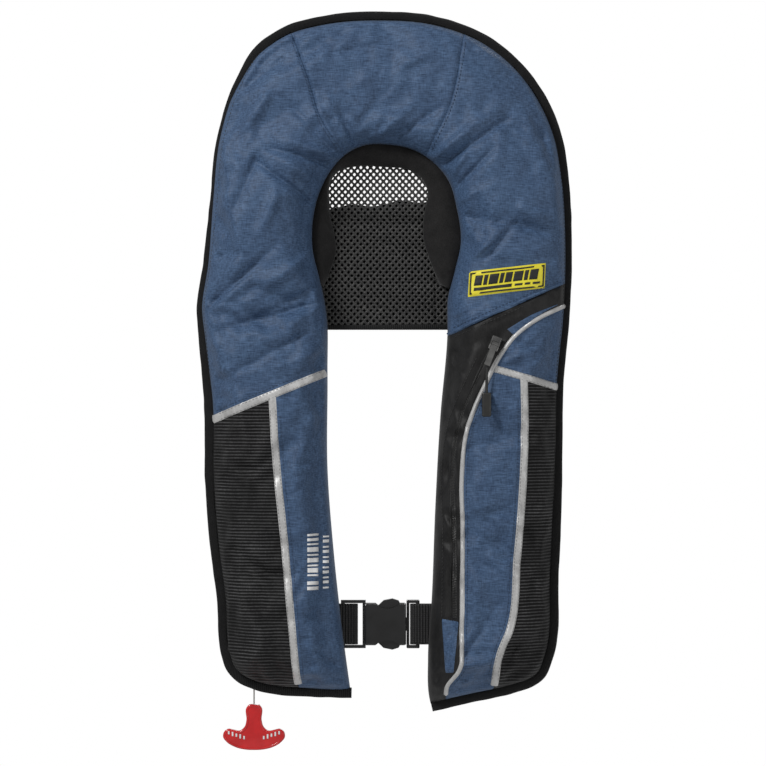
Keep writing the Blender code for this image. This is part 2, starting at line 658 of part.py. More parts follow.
def belt():
    """The waist belt behind the lobes, the sleeves that hold it and its loop at the buckle socket."""
    half = WEBBING / 2
    low, high, top = BELT_Z - half, BELT_Z + half, -127.5
    for name, side, start, out in (("belt_left", -1.0, 46.0, 129.0), ("belt_right", 1.0, 79.2, 144.0)):
        back = out - WEBBING
        shape = ((start, high), (back, high), (back, top - half), (86.4, top - half),
                 (86.4, top + half), (out - half, top + half), (out, top), (out, BELT_Z),
                 (out - half, low), (start, low))
        plate(name, [[(side * x, z) for x, z in shape]], BELT_Y, WEBBING_THICK / 2, WEB)
    for name, x0, x1 in (("sleeve_left", -86.0, -62.0), ("sleeve_right", 80.0, 104.0)):
        sleeve = box(name, (x0, 6.2, low - 3.0), (x1, 19.0, high + 3.0), BLACK)
        cut_box(sleeve, name + "_slot", (x0 - 5, 10.6, low - 1.0), (x1 + 5, 17.2, high + 1.0))
    loop = box("belt_loop_left", (-45.6, BELT_Y - 4.0, low + 0.5), (-26.6, BELT_Y + 4.0, high - 0.5), WEB)
    cut_box(loop, "left_loop_slot", (-43.4, BELT_Y - 2.5, low - 5), (-28.6, BELT_Y + 2.5, high + 5))


def buckle():
    """Side-release buckle: the socket, the plug with its tongue, and the two spring prongs."""
    x, y, z = BUCKLE_X, BELT_Y, BELT_Z
    socket = box("buckle_socket", (x - 19.2, y - 6.2, z - 19.2), (x + 19.2, y + 6.2, z + 19.2), PLASTIC, 1.6)
    add_box(socket, "socket_frame", (-42.3, y - 2.2, z - 22.0), (-19.5, y + 2.2, z + 22.0))
    cut_box(socket, "frame_window", (-38.5, y - 8, z - 19.3), (-22.4, y + 8, z + 19.3))
    cut_box(socket, "tongue_room", (-14.0, y - 3.4, z - 15.4), (25.0, y + 3.4, z + 15.4))
    cut_box(socket, "prong_room", (-10.8, y - 3.4, z - 30.0), (25.0, y + 3.4, z + 30.0))
    for name, side in (("upper_notch", 1.0), ("lower_notch", -1.0)):
        centre = z + side * 30.5
        cut_rod(socket, name, (0.7, y - 12, centre), (0.7, y + 12, centre), 16.0, 32)
    right = x + 19.2
    plug = box("buckle_plug", (right + 0.4, y - 3.0, z - 22.2), (30.0, y + 3.0, z + 22.2), PLASTIC, 1.0)
    cut_box(plug, "plug_window", (20.6, y - 6, z - 19.4), (26.5, y + 6, z + 19.4))
    add_box(plug, "tongue", (-12.0, y - 2.6, z - 6.0), (right + 1.6, y + 2.6, z + 6.0))
    for name, side in (("prong_upper", 1.0), ("prong_lower", -1.0)):
        shape = ((right, 13.2), (right, 18.6), (12.6, 18.0), (10.8, 21.6), (5.0, 23.4), (-3.0, 21.8),
                 (-9.4, 15.8), (-9.4, 13.0), (2.0, 14.2))
        plate(name, [[(a, z + side * b) for a, b in shape]], y, 2.9, PLASTIC)
    half = WEBBING / 2
    loop = box("belt_loop_right", (21.2, y - 4.2, z - half + 0.5), (46.0, y + 4.2, z + half - 0.5), WEB)
    cut_box(loop, "right_loop_slot", (23.2, y - 3.3, z - 40), (44.0, y + 3.3, z + 40))
    box("belt_tail", (46.4, 14.6, z - half), (78.8, 16.2, z + half), WEB)


# ---------------------------------------------------------------- zip slider


def zip_pieces():
    """The slider on the zip, its tab on a cross pin, and the cord pull that hangs from the tab."""
    front = -(SEAM_HALF + LOBE_HEIGHT + 2.0)
    axis_y = front - 6.0
    turn = Matrix.Translation(Vector((ZIP_X, axis_y, ZIP_Z))) @ Matrix.Rotation(ZIP_TILT, 4, "Y")

    def local(part):
        """Carries a piece made at the pin's centre to its place on the jacket."""
        shift = Matrix.Translation(turn.translation * MM) @ turn.to_3x3().to_4x4()
        part.data.transform(shift)
        return part

    slider = local(box("zip_slider", (-4.4, 2.4, -6.4), (4.4, 6.0, 6.4), METAL, 0.7))
    for name, x0, x1 in (("cheek_left", -4.3, -3.2), ("cheek_right", 3.2, 4.3)):
        combine(slider, tool(name, local(box(name, (x0, -1.4, -1.6), (x1, 3.4, 1.6), METAL,
                                             collection=cutters))), "UNION")
    pin = local(rod("tab_pin", (-4.0, 0, 0), (4.0, 0, 0), 0.8, METAL, 12, cutters))
    combine(slider, tool("tab_pin", pin), "UNION")
    tab = local(box("zip_tab", (-2.7, -0.75, -21.0), (2.7, 0.75, 0.0), METAL))
    barrel = local(rod("tab_barrel", (-2.8, 0, 0), (2.8, 0, 0), 1.9, METAL, 16, cutters))
    combine(tab, tool("tab_barrel", barrel), "UNION")
    bore = local(rod("tab_bore", (-5, 0, 0), (5, 0, 0), 1.15, METAL, 16, cutters))
    combine(tab, tool("tab_bore", bore), "DIFFERENCE")
    low = turn @ Vector((0.0, 0.0, -21.4))
    grip = box("zip_pull_cord", (low.x - 4.2, low.y - 2.4, low.z - 46.0), (low.x + 4.2, low.y + 2.4, low.z - 24.0),
               PLASTIC, 1.6)
    add_rod(grip, "pull_loop", (low.x, low.y, low.z - 26.0), (low.x, low.y, low.z - 1.8), 1.3)


cover_front()
cover_back()
edge_binding()
closures()
collar()
trim()
bladder()
inflator()
pull()
oral_tube()
yoke()
belt()
buckle()
zip_pieces()
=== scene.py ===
# %% [markdown]
# # Inflatable life jacket
# The jacket is a horseshoe of sewn panels packed round a folded bladder. It hangs upright by its
# neck, with a mesh yoke behind the opening and a webbing belt that closes in front with a buckle.
# The solid model gives the frame: every length below is in millimetres of that frame, and MM turns
# it into metres. X is to the right as seen from the front, Z is up, and the front faces -Y.

import math

import bmesh
import bpy
import numpy as np
from mathutils import Matrix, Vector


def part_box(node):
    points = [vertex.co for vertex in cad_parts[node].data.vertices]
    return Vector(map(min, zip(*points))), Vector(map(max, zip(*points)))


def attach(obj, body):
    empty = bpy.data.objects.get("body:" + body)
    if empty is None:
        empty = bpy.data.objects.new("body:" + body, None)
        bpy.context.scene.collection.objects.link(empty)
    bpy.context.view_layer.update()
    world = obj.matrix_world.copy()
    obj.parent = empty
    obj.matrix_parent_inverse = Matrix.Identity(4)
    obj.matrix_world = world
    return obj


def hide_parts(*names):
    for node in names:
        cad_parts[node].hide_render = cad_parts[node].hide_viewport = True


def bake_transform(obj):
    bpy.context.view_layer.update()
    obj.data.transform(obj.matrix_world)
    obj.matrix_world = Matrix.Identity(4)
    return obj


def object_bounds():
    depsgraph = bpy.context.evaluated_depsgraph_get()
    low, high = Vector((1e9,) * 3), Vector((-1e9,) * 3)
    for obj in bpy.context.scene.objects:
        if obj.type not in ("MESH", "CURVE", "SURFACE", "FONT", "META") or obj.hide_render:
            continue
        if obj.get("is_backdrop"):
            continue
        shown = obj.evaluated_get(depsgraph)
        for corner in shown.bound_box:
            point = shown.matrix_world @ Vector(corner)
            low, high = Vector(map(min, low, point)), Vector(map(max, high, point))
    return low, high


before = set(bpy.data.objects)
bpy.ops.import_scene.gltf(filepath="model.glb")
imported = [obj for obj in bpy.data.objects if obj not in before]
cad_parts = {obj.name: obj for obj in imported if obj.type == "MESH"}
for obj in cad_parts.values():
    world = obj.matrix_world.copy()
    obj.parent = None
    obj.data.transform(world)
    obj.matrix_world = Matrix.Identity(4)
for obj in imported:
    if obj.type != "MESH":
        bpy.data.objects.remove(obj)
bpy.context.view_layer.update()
MM = 0.001

# %% [markdown]
# ## Camera, floor and light
# The jacket is seen straight from the front by a long lens, so its two lobes stay parallel. It
# hangs about 70 cm above a pale floor. The sky is white to look at but weaker as a light, so that a
# large soft lamp from the upper left can draw the folds in the cloth.

# %% Camera, floor, lights
CAMERA_AWAY = 2.5
VIEW_WIDTH = 0.6894
VIEW_CENTRE = (-0.0036, -0.1976)
FLOOR_Z = -1.20
SKY_AS_SEEN, SKY_AS_LIGHT = 1.0, 0.34

camera = bpy.data.objects.new("camera", bpy.data.cameras.new("camera"))
camera.data.lens = camera.data.sensor_width * CAMERA_AWAY / VIEW_WIDTH
camera.data.clip_end = 50.0
camera.location = (VIEW_CENTRE[0], -CAMERA_AWAY - 0.04, VIEW_CENTRE[1])
camera.rotation_euler = (math.pi / 2, 0.0, 0.0)
bpy.context.scene.collection.objects.link(camera)
bpy.context.scene.camera = camera
bpy.context.scene.view_settings.view_transform = "Standard"


def softbox(name, place, aim, size, watts):
    """A square area lamp at a place, turned towards a point."""
    lamp = bpy.data.lights.new(name, "AREA")
    lamp.size = size
    lamp.energy = watts
    holder = bpy.data.objects.new(name, lamp)
    holder.location = place
    way = np.subtract(aim, place)
    holder.rotation_euler = (
        math.atan2(math.hypot(way[0], way[1]), -way[2]), 0.0, math.atan2(way[1], way[0]) - math.pi / 2)
    bpy.context.scene.collection.objects.link(holder)


softbox("key", (-1.35, -1.5, 1.35), (0.0, 0.0, -0.15), 0.6, 38.0)
softbox("fill", (1.7, -1.6, 0.0), (0.0, 0.0, -0.2), 1.4, 8.5)
softbox("rim", (0.6, 1.6, 1.0), (0.0, 0.0, -0.15), 1.0, 14.0)

sky = bpy.data.worlds.new("sky")
sky.use_nodes = True
bpy.context.scene.world = sky
nodes, links = sky.node_tree.nodes, sky.node_tree.links
nodes.clear()
choice, path = nodes.new("ShaderNodeMixShader"), nodes.new("ShaderNodeLightPath")
exit_node = nodes.new("ShaderNodeOutputWorld")
links.new(path.outputs["Is Camera Ray"], choice.inputs["Fac"])
for socket, strength in ((1, SKY_AS_LIGHT), (2, SKY_AS_SEEN)):
    white = nodes.new("ShaderNodeBackground")
    white.inputs["Color"].default_value = (1.0, 1.0, 1.0, 1.0)
    white.inputs["Strength"].default_value = strength
    links.new(white.outputs["Background"], choice.inputs[socket])
links.new(choice.outputs["Shader"], exit_node.inputs["Surface"])

# %% [markdown]
# ## Making meshes from arrays
# Almost every piece here is a surface over a grid: rows run along the piece, columns across it. One
# helper turns such an array of points into a mesh, closes it round when the section is a ring, and
# stores the distances along and across as a UV map, which weaves and ribs follow.

# %% Grid maker
looks = {}


def grid_faces(rows, columns, round_columns=False, round_rows=False):
    """Quads between neighbours: each cell joins (i, j), (i, j+1), (i+1, j+1), (i+1, j)."""
    i = np.arange(rows if round_rows else rows - 1)[:, None]
    j = np.arange(columns if round_columns else columns - 1)[None, :]
    near, far = i * columns, (i + 1) % rows * columns
    left, right = j, (j + 1) % columns
    return np.stack([near + left, near + right, far + right, far + left], -1).reshape(-1, 4)


def mesh_piece(name, points, faces, look, uv=None, smooth=True):
    """A mesh object from vertex positions in millimetres and an array of equal-sided faces."""
    points, faces = np.asarray(points, float).reshape(-1, 3), np.asarray(faces)
    sides = faces.shape[1]
    mesh = bpy.data.meshes.new(name)
    mesh.vertices.add(len(points))
    mesh.vertices.foreach_set("co", (points * MM).astype(np.float32).ravel())
    mesh.loops.add(faces.size)
    mesh.loops.foreach_set("vertex_index", faces.ravel().astype(np.int32))
    mesh.polygons.add(len(faces))
    mesh.polygons.foreach_set("loop_start", np.arange(0, faces.size, sides, dtype=np.int32))
    mesh.polygons.foreach_set("loop_total", np.full(len(faces), sides, np.int32))
    mesh.update(calc_edges=True)
    mesh.polygons.foreach_set("use_smooth", np.full(len(faces), smooth))
    if uv is not None:
        layer = mesh.uv_layers.new(name="cut")
        layer.data.foreach_set("uv", np.asarray(uv, np.float32).reshape(-1, 2)[faces.ravel()].ravel())
    mesh.materials.append(looks[look])
    mesh.validate()
    piece = bpy.data.objects.new(name, mesh)
    bpy.context.scene.collection.objects.link(piece)
    return piece


def ring_turns(count):
    """Evenly spaced angles round a full turn, without the last, which is the first again."""
    return np.linspace(0.0, 2 * math.pi, count + 1)[:-1]


def upright(flat, y):
    """Points (x, y, z) from flat points (x, z) and their depths."""
    return np.stack([flat[..., 0], np.broadcast_to(y, flat.shape[:-1]), flat[..., 1]], -1)


def stands_for(piece, node, body=None):
    """The piece is shown in a solid's place, and rides on its body."""
    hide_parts(node)
    if body:
        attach(piece, body)


def walled(piece, name, thickness, offset=-1.0):
    """Gives a sheet a wall: offset -1 puts it behind the sheet, 0 half on each side."""
    sheet = piece.modifiers.new(name, "SOLIDIFY")
    sheet.thickness = thickness * MM
    sheet.offset = offset
    return sheet


def cut_uv(points):
    """Distances across and along a grid of points, in metres, measured along its edges."""
    across = np.linalg.norm(np.diff(points, axis=1), axis=2)
    along = np.linalg.norm(np.diff(points, axis=0), axis=2)
    u = np.concatenate([np.zeros((len(points), 1)), across.cumsum(1)], 1)
    v = np.concatenate([np.zeros((1, points.shape[1])), along.cumsum(0)], 0)
    return np.stack([u - u[:, -1:] / 2, v], -1) * MM


def grid_piece(name, points, look, round_columns=False, wall=0.0, wall_offset=-1.0):
    """A piece from a (rows, columns, 3) grid in millimetres, with a wall when it is one sheet."""
    points = np.asarray(points, float)
    faces = grid_faces(points.shape[0], points.shape[1], round_columns)
    piece = mesh_piece(name, points, faces, look, cut_uv(points))
    if wall:
        walled(piece, "wall", wall, wall_offset).use_even_offset = False
    return piece


def capped_tube(name, rings, look):
    """A tube of equal rings, closed at both ends by fans to the ends' middle points."""
    rings = np.asarray(rings, float)
    rows, around = rings.shape[:2]
    body = grid_faces(rows, around, round_columns=True)
    points = np.vstack([rings.reshape(-1, 3), rings[0].mean(0), rings[-1].mean(0)])
    k = np.arange(around)
    first, last = rows * around, rows * around + 1
    low = np.stack([np.full(around, first), (k + 1) % around, k], 1)
    top = (rows - 1) * around
    high = np.stack([np.full(around, last), top + k, top + (k + 1) % around], 1)
    split = np.vstack([body[:, [0, 1, 2]], body[:, [0, 2, 3]], low, high])
    uv = np.vstack([cut_uv(rings).reshape(-1, 2), [[0, 0], [0, 0]]])
    return mesh_piece(name, points, split, look, uv)


def joined(name, parts, look):
    """One mesh from several (points, faces) pairs."""
    starts = np.cumsum([0] + [len(p) for p, _ in parts[:-1]])
    points = np.vstack([p for p, _ in parts])
    faces = np.vstack([f + s for (_, f), s in zip(parts, starts)])
    return mesh_piece(name, points, faces, look)


# %% [markdown]
# ## Cloth and plastic finishes
# Each finish is a Principled shader with its own weave, grain or rib. Patterns read the object's
# own coordinates, or the UV map where the cloth turns, so that they stay put on the piece. The
# cloths get sheen, because short fibres catch light at the edge of a fold.

# %% Finish makers
SHEEN_ROUGHNESS, NOISE_ROUGHNESS = 0.45, 0.55


def finish(name, colour, roughness, sheen=0.0, metallic=0.0, coat=0.0, specular=0.5):
    """A Principled material with constant values on its sockets; returns its tree and shader."""
    made = bpy.data.materials.new(name)
    made.use_nodes = True
    shader = made.node_tree.nodes["Principled BSDF"]
    shader.inputs["Base Color"].default_value = (*colour, 1.0)
    shader.inputs["Roughness"].default_value = roughness
    shader.inputs["Metallic"].default_value = metallic
    shader.inputs["Sheen Weight"].default_value = sheen
    shader.inputs["Sheen Roughness"].default_value = SHEEN_ROUGHNESS
    shader.inputs["Coat Weight"].default_value = coat
    shader.inputs["Specular IOR Level"].default_value = specular
    looks[name] = made
    return made.node_tree, shader


def place_node(tree, scale, uv=False):
    """Coordinates of the piece in metres, times a scale on each axis."""
    spot = tree.nodes.new("ShaderNodeTexCoord")
    mapping = tree.nodes.new("ShaderNodeMapping")
    mapping.inputs["Scale"].default_value = scale
    tree.links.new(spot.outputs["UV" if uv else "Object"], mapping.inputs["Vector"])
    return mapping.outputs["Vector"]


def noise(tree, scale, detail=3.0):
    """A noise pattern with a number of cells to the metre on each axis, or one for all axes."""
    node = tree.nodes.new("ShaderNodeTexNoise")
    node.inputs["Scale"].default_value = 1.0
    node.inputs["Detail"].default_value = detail
    node.inputs["Roughness"].default_value = NOISE_ROUGHNESS
    scale = scale if isinstance(scale, tuple) else (scale, scale, scale)
    tree.links.new(place_node(tree, scale), node.inputs["Vector"])
    return node.outputs["Fac"]


def bands(tree, vector, axis, distortion=0.0, detail=0.0, detail_scale=1.0):
    """Smooth bands along an axis; pitch() gives the scale for a repeat."""
    node = tree.nodes.new("ShaderNodeTexWave")
    node.bands_direction = axis
    node.inputs["Scale"].default_value = 1.0
    node.inputs["Distortion"].default_value = distortion
    node.inputs["Detail"].default_value = detail
    node.inputs["Detail Scale"].default_value = detail_scale
    tree.links.new(vector, node.inputs["Vector"])
    return node.outputs["Fac"]


def blended(tree, factor, low, high, low_at=0.0, high_at=1.0):
    """A colour ramp between two colours, driven by a pattern."""
    ramp = tree.nodes.new("ShaderNodeValToRGB")
    ramp.color_ramp.elements[0].position = low_at
    ramp.color_ramp.elements[1].position = high_at
    ramp.color_ramp.elements[0].color = (*low, 1.0)
    ramp.color_ramp.elements[1].color = (*high, 1.0)
    tree.links.new(factor, ramp.inputs["Fac"])
    return ramp.outputs["Color"]


def mixed(tree, one, two, kind="MULTIPLY", factor=1.0):
    """Two colours or patterns joined by a mix."""
    node = tree.nodes.new("ShaderNodeMix")
    node.data_type = "RGBA"
    node.blend_type = kind
    node.inputs["Factor"].default_value = factor
    tree.links.new(one, node.inputs["A"])
    tree.links.new(two, node.inputs["B"])
    return node.outputs["Result"]


def raised(tree, shader, heights, depth_mm):
    """A bump from one or more patterns, chained so that each adds its own depth."""
    normal = None
    for height, depth in zip(heights, depth_mm):
        bump = tree.nodes.new("ShaderNodeBump")
        bump.inputs["Strength"].default_value = 1.0
        bump.inputs["Distance"].default_value = depth * MM
        tree.links.new(height, bump.inputs["Height"])
        if normal is not None:
            tree.links.new(normal, bump.inputs["Normal"])
        normal = bump.outputs["Normal"]
    tree.links.new(normal, shader.inputs["Normal"])


def pitch(millimetres):
    """Scale that makes a band pattern repeat at a pitch: a full wave takes pi / 10 units."""
    return math.pi / 10.0 / (millimetres * MM)


def cords(tree, repeat_mm, axis, *how):
    """Bands across or along the cut cloth, read from its UV map."""
    return bands(tree, place_node(tree, (pitch(repeat_mm), pitch(repeat_mm), 1.0), uv=True), axis, *how)


def coloured(tree, shader, colour):
    """Drives the base colour."""
    tree.links.new(colour, shader.inputs["Base Color"])


# %% Blue nylon of the cover
def nylon(name, dark, light, roughness, sheen):
    """Plain weave: long thin slubs along the weft, fainter ones along the warp, and a soft mottle."""
    tree, shader = finish(name, light, roughness, sheen=sheen, specular=0.35)
    weft = noise(tree, (130.0, 400.0, 1250.0), 2.0)
    warp = noise(tree, (1250.0, 400.0, 180.0), 2.0)
    mottle = noise(tree, 42.0)
    thread = mixed(tree, weft, warp, "MIX", 0.38)
    colour = blended(tree, thread, dark, light, 0.34, 0.66)
    shade = blended(tree, mottle, (0.88, 0.88, 0.90), (1.0, 1.0, 1.0), 0.35, 0.65)
    coloured(tree, shader, mixed(tree, colour, shade))
    raised(tree, shader, (thread, mottle), (0.35, 0.8))


nylon("blue_nylon", (0.019, 0.044, 0.095), (0.080, 0.144, 0.262), 0.60, 0.05)
nylon("black_nylon", (0.004, 0.004, 0.0045), (0.014, 0.014, 0.015), 0.66, 0.05)

# %% [markdown]
# The outer side panels are a ribbed black cloth: fine cords run across it, so it shows level lines
# that break up where the cloth bends. A band pattern along Z at the cords' pitch does this, with a
# little distortion so that it isn't ruled.

# %% Ribbed side cloth
RIB = pitch(2.9)
tree, shader = finish("ribbed_cloth", (0.02, 0.02, 0.022), 0.60, sheen=0.03, specular=0.2)
ribs = bands(tree, place_node(tree, (RIB * 0.12, RIB * 0.1, RIB)), "Z", 1.6, 2.0, 1.2)
pricks = noise(tree, (700.0, 500.0, 350.0), 2.0)
mottle = noise(tree, (36.0, 36.0, 30.0))
weave = mixed(tree, ribs, pricks, "MIX", 0.42)
colour = blended(tree, weave, (0.001, 0.001, 0.001), (0.085, 0.085, 0.088), 0.46, 0.82)
shade = blended(tree, mottle, (0.35, 0.35, 0.35), (1.0, 1.0, 1.0), 0.35, 0.68)
coloured(tree, shader, mixed(tree, colour, shade))
raised(tree, shader, (ribs, pricks), (0.5, 0.25))

# %% Other cloths


def two_scale_cloth(name, colour, roughness, fine, broad, share, ramp, depths, **more):
    """A cloth whose colour and bump come from a fine pattern and a broad one, mixed by a share."""
    tree, shader = finish(name, colour, roughness, **more)
    patterns = [make(tree, *how) for make, *how in (fine, broad)]
    coloured(tree, shader, blended(tree, mixed(tree, *patterns, "MIX", share), *ramp))
    raised(tree, shader, patterns, depths)


two_scale_cloth(
    "flap_cloth", (0.014, 0.014, 0.015), 0.55,
    (noise, (900.0, 500.0, 260.0), 2.0), (noise, (60.0, 60.0, 34.0), 4.0), 0.6,
    ((0.004, 0.004, 0.0042), (0.019, 0.0185, 0.0185), 0.34, 0.70), (0.2, 0.7), sheen=0.04, specular=0.3)
two_scale_cloth(
    "binding_tape", (0.012, 0.012, 0.013), 0.72,
    (cords, 1.9, "Y", 0.6, 2.0), (noise, 420.0, 2.0), 0.5,
    ((0.0025, 0.0025, 0.0028), (0.015, 0.015, 0.0155), 0.3, 0.75), (0.3, 0.3), sheen=0.06, specular=0.25)
two_scale_cloth(
    "collar_fleece", (0.012, 0.012, 0.012), 0.85,
    (noise, 900.0), (noise, 70.0), 0.4,
    ((0.005, 0.0048, 0.0048), (0.021, 0.020, 0.020), 0.3, 0.7), (0.3, 0.5), sheen=0.2, specular=0.2)
two_scale_cloth(
    "reflective_tape", (0.50, 0.50, 0.50), 0.38,
    (noise, 1100.0, 2.0), (noise, (90.0, 90.0, 60.0), 4.0), 0.55,
    ((0.37, 0.365, 0.36), (0.64, 0.64, 0.635), 0.32, 0.68), (0.12, 0.35),
    sheen=0.1, metallic=0.15, specular=0.6)

tree, shader = finish("webbing", (0.015, 0.015, 0.016), 0.62, sheen=0.15, specular=0.4)
ribs = cords(tree, 2.6, "X", 0.3)
weave = mixed(tree, ribs, cords(tree, 1.7, "Y", 0.3), "MULTIPLY")
fluff = mixed(tree, weave, noise(tree, 500.0, 2.0), "MIX", 0.4)
coloured(tree, shader, blended(tree, fluff, (0.005, 0.005, 0.0055), (0.034, 0.033, 0.033), 0.15, 0.75))
raised(tree, shader, (ribs, weave), (0.35, 0.35))

# %% Net, threads, cords and floor


def one_scale_finish(name, colour, roughness, pattern, ramp, depth=0.0, **more):
    """A finish whose colour, and bump if it has a depth, come from one pattern."""
    tree, shader = finish(name, colour, roughness, **more)
    make, *how = pattern
    made = make(tree, *how)
    coloured(tree, shader, blended(tree, made, *ramp))
    if depth:
        raised(tree, shader, (made,), (depth,))


one_scale_finish("net_cloth", (0.011, 0.011, 0.012), 0.58, (noise, 800.0, 2.0),
                 ((0.009, 0.009, 0.0092), (0.085, 0.083, 0.080), 0.42, 0.74), 0.2, sheen=0.03, specular=0.4)
one_scale_finish("blue_thread", (0.020, 0.040, 0.085), 0.7, (noise, 900.0),
                 ((0.012, 0.026, 0.06), (0.05, 0.09, 0.17)))
one_scale_finish("black_thread", (0.02, 0.02, 0.02), 0.6, (noise, 900.0),
                 ((0.01, 0.01, 0.01), (0.06, 0.06, 0.06)))
one_scale_finish("grey_thread", (0.30, 0.30, 0.30), 0.6, (noise, 900.0),
                 ((0.16, 0.16, 0.16), (0.36, 0.36, 0.36)))
one_scale_finish("hook_and_loop", (0.015, 0.015, 0.015), 0.9, (noise, 1400.0),
                 ((0.006, 0.006, 0.006), (0.03, 0.03, 0.03), 0.3, 0.7), 0.4, sheen=0.3)
one_scale_finish("lanyard", (0.60, 0.58, 0.54), 0.7, (noise, (900.0, 900.0, 500.0)),
                 ((0.34, 0.32, 0.30), (0.66, 0.64, 0.60), 0.3, 0.7), sheen=0.2)
one_scale_finish("braid", (0.60, 0.58, 0.54), 0.7, (cords, 1.4, "DIAGONAL", 0.2),
                 ((0.34, 0.32, 0.30), (0.66, 0.64, 0.60)), 0.15, sheen=0.2)
one_scale_finish("zip_coil", (0.012, 0.012, 0.012), 0.4, (cords, 1.5, "Y"),
                 ((0.004, 0.004, 0.004), (0.035, 0.034, 0.033), 0.3, 0.8), 0.5)
one_scale_finish("floor_paint", (0.72, 0.72, 0.72), 0.8, (noise, 30.0, 4.0),
                 ((0.70, 0.70, 0.70), (0.76, 0.76, 0.76)))

# %% Plastics, metals and print


def moulded(name, dark, light, roughness, coat=0.0, grain=0.1, scale=420.0, metallic=0.0, specular=0.5):
    """Moulded plastic: a fine grain from the tool's surface and a faint shift of colour."""
    tree, shader = finish(name, light, roughness, coat=coat, metallic=metallic, specular=specular)
    fine, broad = noise(tree, scale, 2.0), noise(tree, 60.0)
    coloured(tree, shader, blended(tree, broad, dark, light, 0.3, 0.7))
    raised(tree, shader, (fine, broad), (grain, 0.3))


FINE_GRAIN = 1400.0
PRINT_GRAIN = 1500.0
moulded("buckle_plastic", (0.006, 0.006, 0.006), (0.013, 0.013, 0.0135), 0.28, 0.3, 0.04, FINE_GRAIN)
moulded("net_backing", (0.001, 0.001, 0.001), (0.003, 0.003, 0.003), 0.9, specular=0.1)
moulded("inflator_plastic", (0.008, 0.008, 0.009), (0.02, 0.02, 0.021), 0.42)
moulded("red_plastic", (0.52, 0.008, 0.010), (0.72, 0.016, 0.018), 0.26, 0.5, 0.04)
moulded("yellow_plastic", (0.70, 0.48, 0.02), (0.80, 0.58, 0.03), 0.35, 0.2)
moulded("pull_rubber", (0.010, 0.010, 0.010), (0.022, 0.022, 0.020), 0.5)
moulded("zip_metal", (0.090, 0.090, 0.090), (0.28, 0.277, 0.27), 0.26, 0.4, 0.03, metallic=0.75)
moulded("cylinder_metal", (0.30, 0.30, 0.30), (0.45, 0.46, 0.46), 0.34, grain=0.03, metallic=1.0)
moulded("white_print", (0.70, 0.70, 0.70), (0.86, 0.86, 0.86), 0.55, 0.0, 0.05, PRINT_GRAIN)
moulded("patch_yellow", (0.72, 0.62, 0.02), (0.90, 0.80, 0.05), 0.55, 0.0, 0.08, PRINT_GRAIN)
moulded("patch_black", (0.008, 0.008, 0.008), (0.018, 0.018, 0.018), 0.6, 0.0, 0.08, PRINT_GRAIN)
moulded("bladder_cloth", (0.68, 0.46, 0.02), (0.80, 0.58, 0.03), 0.5)

# %% Floor
FLOOR_RADIUS, FLOOR_SIDES = 4000.0, 128
turn, corner = ring_turns(FLOOR_SIDES), np.arange(FLOOR_SIDES)
rim = FLOOR_RADIUS * np.stack([np.cos(turn), np.sin(turn), np.zeros(FLOOR_SIDES)], 1)
fan = np.stack([np.full(FLOOR_SIDES, FLOOR_SIDES), corner, np.roll(corner, -1)], 1)
floor = mesh_piece("floor", np.vstack([rim, np.zeros((1, 3))]) + (0, 0, FLOOR_Z / MM), fan, "floor_paint")
floor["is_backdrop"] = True
print(len(looks), "finishes")

# %% [markdown]
# ## The lines of the cut
# The cover is drawn flat first, as a maker draws a pattern: the outer edge, the neckline and every
# seam are smooth curves through a few measured points of the front plane (X, Z).

# %% Measured lines, in millimetres
BINDING = 9.6
PANEL_TUCK = 8.2
LOBE_HEIGHT, NECK_HEIGHT = 38.5, 28.0
NECK_STARTS, NECK_EASE = -40.0, 120.0
OUTER_ROUND, INNER_ROUND = 36.0, 26.0
BELT_Y, BELT_Z, WEBBING = 12.4, -419.0, 38.0
CORD_X = -121.5

OUTLINE = (
    (-32.4, -485.6), (-67.5, -484.7), (-101.7, -482.4), (-121.5, -478.1), (-138.6, -469.4),
    (-147.2, -459.4), (-151.5, -445.9), (-155.7, -394.7), (-161.1, -352.4), (-166.5, -284.9),
    (-167.0, -224.6), (-171.9, -160.3), (-174.0, -130.0), (-168.3, -88.7), (-162.0, -31.9),
    (-155.3, 27.7), (-138.0, 80.5), (-122.0, 108.0), (-94.5, 128.0), (-62.1, 137.5), (-7.2, 142.1),
    (43.2, 138.0), (96.3, 117.3), (123.7, 94.3), (146.7, 62.2), (160.2, 27.7), (166.1, -9.0),
    (169.2, -64.4), (167.0, -138.6), (161.7, -195.8), (160.8, -248.8), (159.5, -314.6),
    (157.3, -371.0), (151.7, -449.9), (145.2, -465.8), (135.0, -474.3), (115.0, -481.4),
    (76.2, -490.1), (41.9, -498.0))
NECKLINE = (
    (-32.4, -485.6), (-40.1, -428.9), (-48.6, -352.4), (-54.3, -275.9), (-54.3, -189.0),
    (-55.5, -131.3), (-60.7, -103.6), (-67.5, -74.5), (-67.0, -48.0), (-62.1, -26.6),
    (-53.1, -7.7), (-40.5, 7.7), (-21.6, 18.3), (0.0, 19.6), (22.5, 15.1), (42.9, 2.5),
    (56.7, -15.1), (63.0, -36.6), (67.0, -70.0), (61.8, -94.7), (55.6, -120.0), (55.3, -152.6),
    (49.0, -226.1), (44.1, -313.7), (41.1, -392.5), (37.5, -450.0), (38.7, -485.0), (41.9, -498.0))
COLLAR_FOLD = (
    (-58.1, -109.9), (-51.8, -94.7), (-47.3, -80.8), (-52.4, -36.6), (-50.5, -11.2), (-44.2, -3.8),
    (-27.9, 0.8), (0.0, 0.0), (18.0, -1.8), (29.1, -7.7), (36.0, -17.6), (33.2, -49.2),
    (33.5, -65.7), (39.1, -84.6), (48.0, -107.4))
LEFT_SHOULDER = ((-39.6, 9.5), (-57.7, 37.0), (-71.5, 78.3), (-85.5, 117.5))
RIGHT_SHOULDER = ((36.4, 9.5), (57.1, 55.4), (69.7, 118.0))
